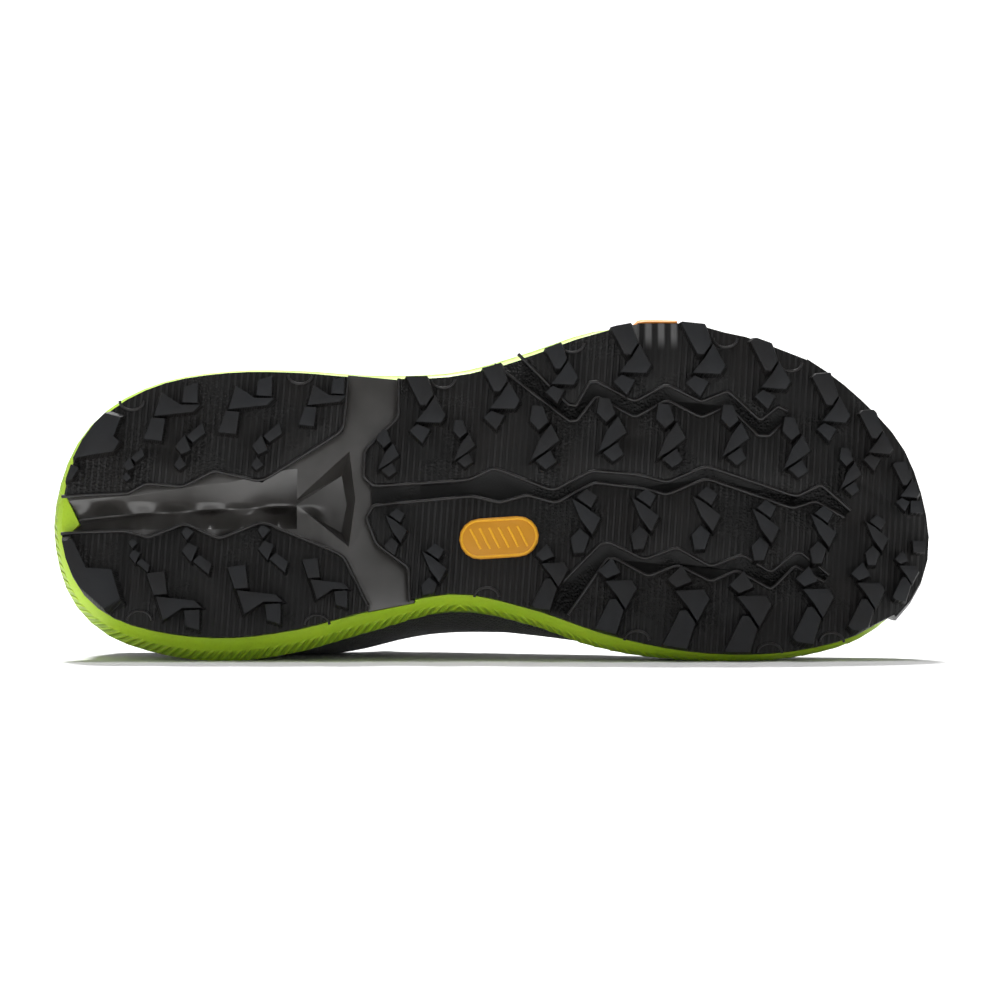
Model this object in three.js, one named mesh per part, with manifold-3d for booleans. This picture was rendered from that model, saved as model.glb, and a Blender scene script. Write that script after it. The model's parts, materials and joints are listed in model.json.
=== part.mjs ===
// Trail running shoe, right foot, lying on its medial side.
// Shoe frame: x from heel to toe, y towards the medial side, z up from the ground. Millimetres.

import * as THREE from 'three';
import Module from 'manifold-3d';

const wasm = await Module();
wasm.setup();

// Driving sizes
const SHOE_LENGTH = 300;
const BALL_WIDTH = 117;
const HEEL_STACK = 36;
const BALL_STACK = 27;
const TOE_SPRING = 16;
const ARCH_RISE = 2.5;
const HEEL_BEVEL = 5;
const LUG_HEIGHT = 4.5;
const LUG_SIZE = 10;
const LUG_DRAFT = 0.24;
const RUBBER = 2.5;
const GROOVE_DEPTH = 1.6;
const WRAP = 2;
const RIB_PITCH = 5.5;
const RIB_DEPTH = 0.8;
const RIB_SLANT = 7;
const WEB_DEPTH = 10;
const CHANNEL_DEPTH = 6;
const COLLAR_HEIGHT = 100;
const INSTEP_HEIGHT = 102;
const TOE_HEIGHT = 53;
const WALL = 2;
const COLLAR_WALL = 5;
const OVERLAY = 1;
const INSOLE = 4;
const TONGUE = 5;
const TONGUE_GAP = 0.8;
const TONGUE_RISE = 17;
const LACE_WIDTH = 6;
const LACE_THICKNESS = 1.6;
const LACE_CLEARANCE = 1.7;
const EYELET_RADIUS = 2.4;
const EYELET_PAIRS = 6;
const INLAY_LENGTH = 27;
const INLAY_WIDTH = 14;
const INLAY_THICKNESS = 0.9;
const TAB_LENGTH = 17;
const GAP = 0.3;
const BOND = 0.6;
const FEATHER = 2.5;
const FLOOR_FLAT = 0.4;

// Line that the tread's tables are measured across from, as a share of the ball width
const TREAD_LINE = -0.035;

// How finely the curves are stepped
const RING = 96;
const SKIN_COLUMNS = 28;
const SKIN_ROWS = 6;

// Heights in the flat, before the sole is bent
const PLATE_TOP = LUG_HEIGHT + RUBBER;
const FOAM_BOTTOM = PLATE_TOP + BOND;

// Widest outline of the foam: place along the length, reach to each side as shares of the ball width
const OUTLINE = [
  { along: 0.02, medial: 0.235, lateral: 0.192 },
  { along: 0.06, medial: 0.346, lateral: 0.316 },
  { along: 0.12, medial: 0.406, lateral: 0.396 },
  { along: 0.20, medial: 0.430, lateral: 0.431 },
  { along: 0.28, medial: 0.403, lateral: 0.432 },
  { along: 0.36, medial: 0.344, lateral: 0.418 },
  { along: 0.46, medial: 0.279, lateral: 0.430 },
  { along: 0.54, medial: 0.322, lateral: 0.483 },
  { along: 0.62, medial: 0.393, lateral: 0.547 },
  { along: 0.70, medial: 0.426, lateral: 0.552 },
  { along: 0.79, medial: 0.432, lateral: 0.526 },
  { along: 0.86, medial: 0.409, lateral: 0.444 },
  { along: 0.92, medial: 0.355, lateral: 0.329 },
  { along: 0.97, medial: 0.244, lateral: 0.175 },
];
const HEEL_POINT = 0.026;
const TOE_POINT = 0.094;

// Sidewall section: level from the rubber to the footbed, shares of the lower and upper inset
const SIDE_SECTION = [
  { level: 0, lower: 1, upper: 0 },
  { level: 0.12, lower: 0.45, upper: 0 },
  { level: 0.30, lower: 0, upper: 0 },
  { level: 0.42, lower: 0, upper: 0.06 },
  { level: 0.84, lower: 0, upper: 0.68 },
  { level: 1, lower: 0, upper: 1 },
];
const RIB_START = 0.42;
const RIB_END = 0.84;

// Insets of the sidewall in millimetres at places along the length
const LOWER_INSET = [
  { along: 0, medial: 3.5, lateral: 3.4 },
  { along: 0.06, medial: 5.2, lateral: 3.2 },
  { along: 0.2, medial: 6.5, lateral: 3 },
  { along: 0.35, medial: 5.5, lateral: 3.2 },
  { along: 0.5, medial: 4, lateral: 3.4 },
  { along: 0.62, medial: 4, lateral: 2.8 },
  { along: 0.74, medial: 1.6, lateral: 1.6 },
  { along: 0.9, medial: 1, lateral: 0.8 },
  { along: 1, medial: 0.2, lateral: 0.2 },
];
const UPPER_INSET = [
  { along: 0, medial: 7, lateral: 7 },
  { along: 0.25, medial: 7, lateral: 8 },
  { along: 0.45, medial: 2, lateral: 8 },
  { along: 0.6, medial: 3, lateral: 5 },
  { along: 0.8, medial: 3, lateral: 3 },
  { along: 1, medial: 2.5, lateral: 2.5 },
];

// Footbed height as shares of the heel stack, the ball stack and the toe spring
const FOOTBED = [
  { along: 0, heel: 1.02, ball: 0, spring: 0 },
  { along: 0.12, heel: 1, ball: 0, spring: 0 },
  { along: 0.3, heel: 0.98, ball: 0, spring: 0 },
  { along: 0.45, heel: 0.62, ball: 0.4, spring: 0 },
  { along: 0.6, heel: 0.2, ball: 0.8, spring: 0 },
  { along: 0.72, heel: 0, ball: 1, spring: 0 },
  { along: 0.82, heel: 0, ball: 1, spring: 0.06 },
  { along: 0.92, heel: 0, ball: 1, spring: 0.22 },
  { along: 1, heel: 0, ball: 1, spring: 0.42 },
];

// Where the sole leaves the ground
const BEVEL_END = 0.085;
const ARCH_START = 0.32;
const ARCH_END = 0.585;
const SPRING_START = 0.72;
const SPRING_POWER = 1.8;
const BEND_ZONES = [
  { from: 0, to: BEVEL_END, step: 0.025 },
  { from: ARCH_START, to: ARCH_END, step: 0.05 },
  { from: SPRING_START, to: 1, step: 0.1 },
];

// Heel pods: the zigzag bank of each beside the channel, and where the pod ends
const LATERAL_BANK = [
  [0.005, -0.009], [0.087, -0.012], [0.108, -0.042], [0.15, -0.033], [0.185, -0.08],
  [0.239, -0.048], [0.331, -0.199], [0.336, -0.356],
];
const MEDIAL_BANK = [
  [0.005, 0.101], [0.087, 0.098], [0.111, 0.118], [0.152, 0.077], [0.192, 0.121],
  [0.24, 0.071], [0.332, 0.169], [0.36, 0.317],
];

// Back edge of the forefoot rubber, from the lateral side to the medial side
const FOREFOOT_EDGE = [
  [0.394, -0.356], [0.394, -0.241], [0.356, -0.143], [0.355, -0.063], [0.364, -0.033],
  [0.364, 0.023], [0.358, 0.056], [0.37, 0.136], [0.406, 0.202], [0.407, 0.302],
];

// Flex grooves of the forefoot: both edges, from back to front
const LATERAL_GROOVE = {
  outer: [
    [0.53, -0.428], [0.587, -0.276], [0.596, -0.273], [0.611, -0.342], [0.619, -0.345],
    [0.662, -0.285], [0.698, -0.336], [0.738, -0.285], [0.768, -0.318], [0.805, -0.232],
    [0.826, -0.276], [0.837, -0.262],
  ],
  inner: [
    [0.503, -0.398], [0.588, -0.226], [0.597, -0.229], [0.619, -0.3], [0.662, -0.238],
    [0.699, -0.288], [0.738, -0.238], [0.768, -0.273], [0.802, -0.187], [0.815, -0.187],
    [0.834, -0.232],
  ],
};
const MIDDLE_GROOVE = {
  outer: [
    [0.35, -0.033], [0.473, -0.057], [0.503, -0.091], [0.569, -0.021], [0.613, -0.08],
    [0.664, -0.069], [0.698, -0.046], [0.743, -0.094], [0.845, -0.009], [0.874, -0.048],
    [0.908, 0.026],
  ],
  inner: [
    [0.35, 0.023], [0.477, -0.009], [0.509, 0.012], [0.54, -0.009], [0.573, 0.015],
    [0.616, -0.045], [0.664, -0.03], [0.698, -0.009], [0.743, -0.057], [0.84, 0.026],
    [0.868, 0.003], [0.9, 0.047],
  ],
};
const MEDIAL_GROOVE = {
  outer: [
    [0.554, 0.317], [0.622, 0.136], [0.634, 0.133], [0.672, 0.181], [0.709, 0.147],
    [0.747, 0.202], [0.783, 0.166], [0.815, 0.216], [0.843, 0.157], [0.851, 0.157],
    [0.882, 0.219],
  ],
  inner: [
    [0.586, 0.344], [0.63, 0.181], [0.64, 0.181], [0.676, 0.231], [0.71, 0.199],
    [0.747, 0.246], [0.777, 0.213], [0.815, 0.267], [0.843, 0.196], [0.876, 0.24],
  ],
};

// Channel between the heel pods: both upper edges, the valley line and its depth share
const CHANNEL = [
  { along: -0.02, lateral: -0.006, valley: 0.062, medial: 0.098, depth: 0.8 },
  { along: 0.1, lateral: -0.022, valley: 0.035, medial: 0.1, depth: 0.9 },
  { along: 0.2, lateral: -0.06, valley: 0.02, medial: 0.1, depth: 1 },
  { along: 0.279, lateral: -0.105, valley: 0.009, medial: 0.1, depth: 1.1 },
];
const PIT = [[0.275, 0.008], [0.338, 0.14], [0.345, 0], [0.338, -0.142]];

// Blocks of each kind of lug: corners as shares of the lug size, front to the right, medial side up
const LUG_KINDS = {
  centre: [
    [[-0.24, -0.72], [0.05, -0.98], [0.36, -0.76], [0.18, -0.42]],
    [[-0.38, -0.69], [-0.02, -0.47], [0.45, -0.1], [0.21, 0.38], [-0.12, -0.06]],
    [[-0.42, 0.5], [-0.15, 0.22], [0.12, 0.46], [-0.04, 0.93], [-0.34, 0.95]],
  ],
  edge: [
    [[-0.45, -0.9], [0, -1.34], [0.28, -0.85], [-0.17, -0.66]],
    [[-0.21, -0.55], [0.66, -0.59], [0.83, -0.31], [0.45, 0.38], [0.17, -0.07]],
    [[-0.59, 1.1], [-0.07, 0.07], [0.14, 0.07], [0.38, 0.45], [0.1, 1.31], [-0.45, 1.24]],
  ],
  heelEdge: [
    [[-1, -1.03], [-0.41, -1.1], [-0.31, -0.34], [-0.76, -0.31]],
    [[-0.66, -0.24], [0.62, -0.1], [0.86, 0.14], [0.21, 0.14], [-0.41, 0.55]],
    [[0.28, 0.24], [0.79, 0.21], [0.79, 0.9], [0.34, 0.76]],
  ],
  heelCentre: [
    [[-0.48, -0.62], [-0.31, -0.79], [-0.07, -0.62], [-0.3, -0.34]],
    [[-0.45, 0.03], [-0.24, -0.24], [0.07, -0.1], [-0.14, 0.41]],
    [[-0.07, 0.38], [0.14, 0.17], [0.55, 0.48], [0.45, 0.83]],
  ],
  rearMedial: [
    [
      [-1.17, -1.07], [-0.55, -1.17], [-0.07, -0.17], [0.79, -0.1], [1.1, 0.9],
      [0.55, 1.21], [-0.31, 0.45],
    ],
  ],
  rearLateral: [
    [
      [-0.76, -0.21], [0, -0.1], [0.79, 0], [1, 0.34], [0.79, 0.52], [1.03, 1.17],
      [0.31, 1.38], [-0.38, 0.48],
    ],
    [[-1.17, -1.14], [-0.6, -0.9], [-0.38, -0.55], [-0.83, -0.31]],
  ],
  nub: [[[-0.22, -0.2], [0.22, -0.2], [0.18, 0.2], [-0.2, 0.2]]],
};

// Lugs: kind, side, place along the length, place across as a share of the ball width, size
const LATERAL_LUGS = [
  { kind: 'edge', along: 0.421, across: -0.267, size: 0.95 },
  { kind: 'edge', along: 0.505, across: -0.306, size: 0.95 },
  { kind: 'edge', along: 0.574, across: -0.371, size: 0.85 },
  { kind: 'edge', along: 0.653, across: -0.413, size: 1 },
  { kind: 'edge', along: 0.736, across: -0.413, size: 1.05 },
  { kind: 'edge', along: 0.813, across: -0.368, size: 0.95 },
  { kind: 'edge', along: 0.883, across: -0.273, size: 0.9 },
  { kind: 'edge', along: 0.935, across: -0.181, size: 0.8 },
  { kind: 'edge', along: 0.97, across: -0.048, size: 0.65 },
  { kind: 'centre', along: 0.382, across: -0.128, size: 0.85 },
  { kind: 'centre', along: 0.468, across: -0.158, size: 0.85 },
  { kind: 'centre', along: 0.559, across: -0.173, size: 1.14 },
  { kind: 'centre', along: 0.635, across: -0.196, size: 1.14 },
  { kind: 'centre', along: 0.702, across: -0.178, size: 1.14 },
  { kind: 'centre', along: 0.775, across: -0.181, size: 1.08 },
  { kind: 'centre', along: 0.845, across: -0.149, size: 1.08 },
  { kind: 'centre', along: 0.907, across: -0.083, size: 0.85 },
  { kind: 'nub', along: 0.984, across: 0.012, size: 1 },
];
const MEDIAL_LUGS = [
  { kind: 'centre', along: 0.391, across: 0.107, size: 0.85 },
  { kind: 'centre', along: 0.434, across: 0.219, size: 0.97 },
  { kind: 'edge', along: 0.562, across: 0.24, size: 0.85 },
  { kind: 'edge', along: 0.635, across: 0.299, size: 1 },
  { kind: 'edge', along: 0.714, across: 0.332, size: 1.1 },
  { kind: 'edge', along: 0.784, across: 0.347, size: 1.1 },
  { kind: 'edge', along: 0.858, across: 0.317, size: 1 },
  { kind: 'edge', along: 0.92, across: 0.288, size: 0.9 },
  { kind: 'edge', along: 0.967, across: 0.22, size: 0.65 },
  { kind: 'centre', along: 0.605, across: 0.077, size: 1.14 },
  { kind: 'centre', along: 0.672, across: 0.071, size: 1.08 },
  { kind: 'centre', along: 0.741, across: 0.068, size: 1.12 },
  { kind: 'centre', along: 0.808, across: 0.101, size: 1.08 },
  { kind: 'centre', along: 0.874, across: 0.109, size: 1.03 },
  { kind: 'centre', along: 0.936, across: 0.118, size: 0.91 },
  { kind: 'nub', along: 0.986, across: 0.13, size: 1 },
];
const LATERAL_HEEL_LUGS = [
  { kind: 'rearLateral', along: 0.045, across: -0.131, size: 1 },
  { kind: 'heelEdge', along: 0.14, across: -0.256, size: 1 },
  { kind: 'heelEdge', along: 0.224, across: -0.276, size: 1 },
  { kind: 'heelEdge', along: 0.31, across: -0.285, size: 0.85 },
  { kind: 'heelCentre', along: 0.094, across: -0.089, size: 0.7 },
  { kind: 'heelCentre', along: 0.157, across: -0.143, size: 1 },
  { kind: 'heelCentre', along: 0.244, across: -0.143, size: 1 },
];
const MEDIAL_HEEL_LUGS = [
  { kind: 'rearMedial', along: 0.045, across: 0.225, size: 1 },
  { kind: 'heelEdge', along: 0.145, across: 0.317, size: 1 },
  { kind: 'heelEdge', along: 0.236, across: 0.299, size: 1 },
  { kind: 'heelEdge', along: 0.315, across: 0.264, size: 0.85 },
  { kind: 'heelCentre', along: 0.102, across: 0.175, size: 0.7 },
  { kind: 'heelCentre', along: 0.166, across: 0.16, size: 1 },
  { kind: 'heelCentre', along: 0.252, across: 0.154, size: 1 },
];

// Rubber that climbs the sidewall, by its ends along the outline of each side
const TOE_WRAP = { lateral: 0.79, medial: 0.93 };
const BALL_WRAP = { start: 0.625, end: 0.68, top: 0.46 };
const TAB_CENTRE = 0.645;
const TAB_BOTTOM = 0.52;
const TAB_TOP = 0.95;

const INLAY = { along: 0.508, across: 0.117, turn: -0.05 };
const HEEL_NOTCH = { across: 0.035, depth: 5, half: 6, height: 22 };
const WEB_START = 0.02;
const WEB_OVERLAP = 1.5;
const NOTCH_TIP = 0.018;

// Top line of the upper from the heel (0) to the toe (1) of each side: place along the length,
// half width as a share of the ball width, and height as shares of the three named heights
const TOP_LINE = [
  { way: 0, along: 0.047, half: 0, collar: 1, instep: 0, toe: 0 },
  { way: 0.06, along: 0.053, half: 0.115, collar: 0.99, instep: 0, toe: 0 },
  { way: 0.12, along: 0.08, half: 0.205, collar: 0.955, instep: 0, toe: 0 },
  { way: 0.2, along: 0.155, half: 0.28, collar: 0.9, instep: 0, toe: 0 },
  { way: 0.28, along: 0.235, half: 0.31, collar: 0.875, instep: 0, toe: 0 },
  { way: 0.35, along: 0.305, half: 0.297, collar: 0.46, instep: 0.45, toe: 0 },
  { way: 0.4, along: 0.35, half: 0.248, collar: 0, instep: 0.97, toe: 0 },
  { way: 0.44, along: 0.375, half: 0.2, collar: 0, instep: 1, toe: 0 },
  { way: 0.49, along: 0.425, half: 0.171, collar: 0, instep: 0.925, toe: 0 },
  { way: 0.54, along: 0.485, half: 0.158, collar: 0, instep: 0.845, toe: 0 },
  { way: 0.59, along: 0.545, half: 0.137, collar: 0, instep: 0.778, toe: 0 },
  { way: 0.64, along: 0.595, half: 0.107, collar: 0, instep: 0.73, toe: 0 },
  { way: 0.675, along: 0.626, half: 0.065, collar: 0, instep: 0.7, toe: 0 },
  { way: 0.7, along: 0.636, half: 0, collar: 0, instep: 0.692, toe: 0 },
  { way: 0.78, along: 0.71, half: 0, collar: 0, instep: 0.4, toe: 0.49 },
  { way: 0.86, along: 0.795, half: 0, collar: 0, instep: 0.15, toe: 0.87 },
  { way: 0.93, along: 0.86, half: 0, collar: 0, instep: 0.04, toe: 1 },
  { way: 1, along: 0.905, half: 0, collar: 0, instep: 0, toe: 1 },
];
const THROAT_END = 0.7;
const THROAT_CORNER = 0.44;
const RIDGE_SHIFT = 0.085;

// Section of the upper's wall, in millimetres: how far it leans out above the feather edge and
// below the top line
const LATERAL_WALL = [
  { way: 0, lowOut: 3, lowUp: 24, topOut: 7, topDown: 24 },
  { way: 0.12, lowOut: 2, lowUp: 22, topOut: 6, topDown: 22 },
  { way: 0.28, lowOut: 1, lowUp: 18, topOut: 4, topDown: 18 },
  { way: 0.4, lowOut: 1, lowUp: 20, topOut: 9, topDown: 20 },
  { way: 0.5, lowOut: 1, lowUp: 20, topOut: 15, topDown: 14 },
  { way: 0.64, lowOut: 2, lowUp: 18, topOut: 20, topDown: 6 },
  { way: 0.7, lowOut: 2, lowUp: 17, topOut: 25, topDown: 0 },
  { way: 0.86, lowOut: 2, lowUp: 15, topOut: 25, topDown: 0 },
  { way: 1, lowOut: 2, lowUp: 12, topOut: 15, topDown: 0 },
];
const MEDIAL_WALL = [
  { way: 0, lowOut: 3, lowUp: 24, topOut: 7, topDown: 24 },
  { way: 0.12, lowOut: 2, lowUp: 22, topOut: 6, topDown: 22 },
  { way: 0.28, lowOut: 1, lowUp: 18, topOut: 5, topDown: 18 },
  { way: 0.4, lowOut: 7, lowUp: 16, topOut: 12, topDown: 20 },
  { way: 0.5, lowOut: 8, lowUp: 16, topOut: 17, topDown: 14 },
  { way: 0.64, lowOut: 3, lowUp: 18, topOut: 20, topDown: 6 },
  { way: 0.7, lowOut: 2, lowUp: 17, topOut: 24, topDown: 0 },
  { way: 0.86, lowOut: 2, lowUp: 15, topOut: 24, topDown: 0 },
  { way: 1, lowOut: 2, lowUp: 12, topOut: 15, topDown: 0 },
];
// Sections of the tongue above the throat: steps back and up, narrowing and flattening
const TONGUE_TOP = [
  { back: TONGUE_RISE * 0.62, up: TONGUE_RISE, narrow: 0.62, flat: 0.35 },
  { back: TONGUE_RISE * 0.5, up: TONGUE_RISE * 0.85, narrow: 0.8, flat: 0.5 },
  { back: TONGUE_RISE * 0.25, up: TONGUE_RISE * 0.42, narrow: 0.86, flat: 0.7 },
];
const COLLAR_END = 0.41;
const COLLAR_PADDING_START = 0.55;

// Top edges of the overlays, as shares of the wall from the feather edge to the top line
const TOE_GUARD = [
  { way: 0.6, height: -0.05 },
  { way: 0.66, height: 0.14 },
  { way: 0.8, height: 0.2 },
  { way: 0.9, height: 0.42 },
  { way: 1, height: 0.55 },
];
const HEEL_COUNTER = [
  { way: 0, height: 0.62 },
  { way: 0.1, height: 0.52 },
  { way: 0.22, height: 0.26 },
  { way: 0.32, height: -0.05 },
];
const EYESTAY_DEPTH = 0.2;
const EYESTAY_FRONT = 0.045;
const EYELET_DEPTH = 0.1;
const EYELET_FIRST = 0.655;
const EYELET_LAST = 0.475;

// Tables read smoothly between their rows
function readTable(rows, key, place, column) {
  const last = rows.length - 1;
  if (place <= rows[0][key]) {
    return rows[0][column];
  }
  if (place >= rows[last][key]) {
    return rows[last][column];
  }
  let i = 0;
  while (rows[i + 1][key] < place) {
    i += 1;
  }
  const slope = (k) => {
    const a = rows[Math.max(k - 1, 0)];
    const b = rows[Math.min(k + 1, last)];
    return (b[column] - a[column]) / (b[key] - a[key]);
  };
  const span = rows[i + 1][key] - rows[i][key];
  const t = (place - rows[i][key]) / span;
  const start = rows[i][column];
  const end = rows[i + 1][column];
  const cubic = (2 * t ** 3 - 3 * t ** 2 + 1) * start + (3 * t ** 2 - 2 * t ** 3) * end;
  return cubic + span * ((t ** 3 - 2 * t ** 2 + t) * slope(i) + (t ** 3 - t ** 2) * slope(i + 1));
}

function blend(a, b, share) {
  return a + (b - a) * share;
}

function smoothStep(low, high, x) {
  return THREE.MathUtils.smoothstep(x, low, high);
}

// Heights of the bent sole at a distance from the heel
function rise(x) {
  const along = x / SHOE_LENGTH;
  let height = 0;
  if (along < BEVEL_END) {
    height += HEEL_BEVEL * (1 - along / BEVEL_END) ** 2;
  }
  if (along > ARCH_START && along < ARCH_END) {
    const way = (along - ARCH_START) / (ARCH_END - ARCH_START);
    height += ARCH_RISE * Math.sin(Math.PI * way) ** 2;
  }
  if (along > SPRING_START) {
    height += TOE_SPRING * ((along - SPRING_START) / (1 - SPRING_START)) ** SPRING_POWER;
  }
  return height;
}

function footbed(x) {
  const along = x / SHOE_LENGTH;
  return readTable(FOOTBED, 'along', along, 'heel') * HEEL_STACK
    + readTable(FOOTBED, 'along', along, 'ball') * BALL_STACK
    + readTable(FOOTBED, 'along', along, 'spring') * TOE_SPRING;
}

// Outline of the foam, seen from above, from the heel along the lateral side to the toe and back
function makeOutline() {
  const foamLength = SHOE_LENGTH - WRAP - GAP;
  const points = [new THREE.Vector3(0, HEEL_POINT * BALL_WIDTH, 0)];
  for (const row of OUTLINE) {
    points.push(new THREE.Vector3(row.along * SHOE_LENGTH, -row.lateral * BALL_WIDTH, 0));
  }
  points.push(new THREE.Vector3(foamLength, TOE_POINT * BALL_WIDTH, 0));
  for (const row of [...OUTLINE].reverse()) {
    points.push(new THREE.Vector3(row.along * SHOE_LENGTH, row.medial * BALL_WIDTH, 0));
  }
  const curve = new THREE.CatmullRomCurve3(points, true, 'centripetal');
  curve.arcLengthDivisions = 2000;
  return curve;
}

const outline = makeOutline();
const outlineLength = outline.getLength();

function findToe() {
  let toe = 0;
  for (let i = 0; i <= 1000; i += 1) {
    if (outline.getPointAt(i / 1000).x > outline.getPointAt(toe).x) {
      toe = i / 1000;
    }
  }
  return toe;
}

const TOE_TURN = findToe();

function outlineAt(turn) {
  const wrapped = turn - Math.floor(turn);
  const point = outline.getPointAt(wrapped);
  const tangent = outline.getTangentAt(wrapped);
  return { x: point.x, y: point.y, outX: tangent.y, outY: -tangent.x };
}

// Way from heel (0) to toe (1) along a side, and back to a turn of the outline
function turnOf(way, side) {
  return side === 'lateral' ? way * TOE_TURN : 1 - way * (1 - TOE_TURN);
}

function sideInset(edge, level) {
  const along = edge.x / SHOE_LENGTH;
  const toMedial = (1 + edge.outY) / 2;
  const inset = (table) => blend(
    readTable(table, 'along', along, 'lateral'),
    readTable(table, 'along', along, 'medial'),
    toMedial,
  );
  return inset(LOWER_INSET) * readTable(SIDE_SECTION, 'level', level, 'lower')
    + inset(UPPER_INSET) * readTable(SIDE_SECTION, 'level', level, 'upper');
}

// A point of the sidewall: x, y and the level from the rubber (0) to the footbed (1)
function sidePoint(turn, level, outward) {
  const edge = outlineAt(turn);
  const shift = outward - sideInset(edge, level);
  return [edge.x + edge.outX * shift, edge.y + edge.outY * shift, level];
}

function flatHeight(x, level) {
  return blend(FOAM_BOTTOM, footbed(x) - rise(x), level);
}

// Surfaces and solids are lists of points and of faces. A point is x, y, z and, on the upper, its
// way, its share of the wall's height and its outward direction.

function pointKey(point) {
  return point.slice(0, 3).map((value) => Math.round(value * 1e4)).join();
}

function weld(body) {
  const places = new Map();
  const points = [];
  const renumber = body.points.map((point) => {
    const key = pointKey(point);
    if (!places.has(key)) {
      places.set(key, points.length);
      points.push(point);
    }
    return places.get(key);
  });
  const faces = body.faces
    .map((face) => face.map((i) => renumber[i]))
    .filter(([a, b, c]) => a !== b && b !== c && c !== a);
  return { points, faces };
}

// Every triangle that the zero line of a field crosses is cut along it
function splitWhere(body, field) {
  const points = [...body.points];
  const values = points.map(field);
  const near = 1e-6;
  const cuts = new Map();
  const cutEdge = (a, b) => {
    const [low, high] = a < b ? [a, b] : [b, a];
    const key = `${low}_${high}`;
    if (!cuts.has(key)) {
      const share = values[low] / (values[low] - values[high]);
      cuts.set(key, points.length);
      points.push(points[low].map((value, k) => blend(value, points[high][k], share)));
      values.push(0);
    }
    return cuts.get(key);
  };
  const sign = (i) => (Math.abs(values[i]) < near ? 0 : Math.sign(values[i]));
  const faces = [];
  for (const face of body.faces) {
    const signs = face.map(sign);
    if (!signs.includes(1) || !signs.includes(-1)) {
      faces.push(face);
    } else if (signs.includes(0)) {
      const k = signs.indexOf(0);
      const [a, b, c] = [face[k], face[(k + 1) % 3], face[(k + 2) % 3]];
      const middle = cutEdge(b, c);
      faces.push([a, b, middle], [a, middle, c]);
    } else {
      const lone = signs.indexOf(signs.filter((s) => s > 0).length === 1 ? 1 : -1);
      const [a, b, c] = [face[lone], face[(lone + 1) % 3], face[(lone + 2) % 3]];
      const ab = cutEdge(a, b);
      const ac = cutEdge(a, c);
      faces.push([a, ab, ac], [ab, b, c], [ab, c, ac]);
    }
  }
  return { points, faces };
}

function keepFaces(body, test) {
  const faces = body.faces.filter((face) => {
    const middle = body.points[0].map((_, k) => (
      (body.points[face[0]][k] + body.points[face[1]][k] + body.points[face[2]][k]) / 3
    ));
    return test(middle);
  });
  return { points: body.points, faces };
}

function moved(body, change) {
  return { points: body.points.map(change), faces: body.faces };
}

// Edges that would cut a corner of the bend are halved until none is left
function refined(body, needsCut) {
  let { points, faces } = body;
  points = [...points];
  let cutting = true;
  while (cutting) {
    cutting = false;
    const middles = new Map();
    const middleOf = (a, b) => {
      const key = a < b ? `${a}_${b}` : `${b}_${a}`;
      if (!middles.has(key)) {
        let middle = -1;
        if (needsCut(points[a], points[b])) {
          middle = points.length;
          points.push(points[a].map((value, k) => (value + points[b][k]) / 2));
        }
        middles.set(key, middle);
      }
      return middles.get(key);
    };
    const next = [];
    for (const [a, b, c] of faces) {
      const [ab, bc, ca] = [middleOf(a, b), middleOf(b, c), middleOf(c, a)];
      const cut = [ab, bc, ca].filter((i) => i >= 0).length;
      cutting = cutting || cut > 0;
      if (cut === 0) {
        next.push([a, b, c]);
      } else if (cut === 3) {
        next.push([a, ab, ca], [ab, b, bc], [ca, bc, c], [ab, bc, ca]);
      } else {
        const turns = [[a, b, c, ab, bc, ca], [b, c, a, bc, ca, ab], [c, a, b, ca, ab, bc]];
        const [p, q, r, pq, qr] = turns.find(([, , , first, , last]) => first >= 0 && last < 0);
        next.push([p, pq, r]);
        if (qr < 0) {
          next.push([pq, q, r]);
        } else {
          next.push([pq, q, qr], [pq, qr, r]);
        }
      }
    }
    faces = next;
  }
  return { points, faces };
}

// An edge is too long if it runs further than a zone's step inside that zone
function crossesBend(p, q) {
  const low = Math.min(p[0], q[0]) / SHOE_LENGTH;
  const high = Math.max(p[0], q[0]) / SHOE_LENGTH;
  return BEND_ZONES.some(({ from, to, step }) => Math.min(high, to) - Math.max(low, from) > step);
}

function bentSole(body) {
  const split = refined(body, crossesBend);
  return moved(split, ([x, y, z]) => [x, y, z + rise(x)]);
}

function toSolid(body) {
  const welded = weld(body);
  return new wasm.Manifold(new wasm.Mesh({
    numProp: 3,
    vertProperties: new Float32Array(welded.points.flatMap((point) => point.slice(0, 3))),
    triVerts: new Uint32Array(welded.faces.flat()),
  }));
}

function fromSolid(solid) {
  const mesh = solid.getMesh();
  const points = [];
  for (let i = 0; i < mesh.vertProperties.length; i += mesh.numProp) {
    points.push([...mesh.vertProperties.slice(i, i + 3)]);
  }
  const faces = [];
  for (let i = 0; i < mesh.triVerts.length; i += 3) {
    faces.push([...mesh.triVerts.slice(i, i + 3)]);
  }
  return { points, faces };
}

function flatFaces(ring) {
  const contour = ring.map(([x, y]) => new THREE.Vector2(x, y));
  return THREE.ShapeUtils.triangulateShape(contour, []);
}

// Faces across a ring whose points lie in pairs, one on each side of the shoe
function pairedFaces(ring) {
  const count = ring.length;
  const faces = [[0, 1, count - 1]];
  for (let i = 1; i < count / 2 - 1; i += 1) {
    faces.push([i, i + 1, count - 1 - i], [i, count - 1 - i, count - i]);
  }
  faces.push([count / 2 - 1, count / 2, count / 2 + 1]);
  return faces;
}

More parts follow.
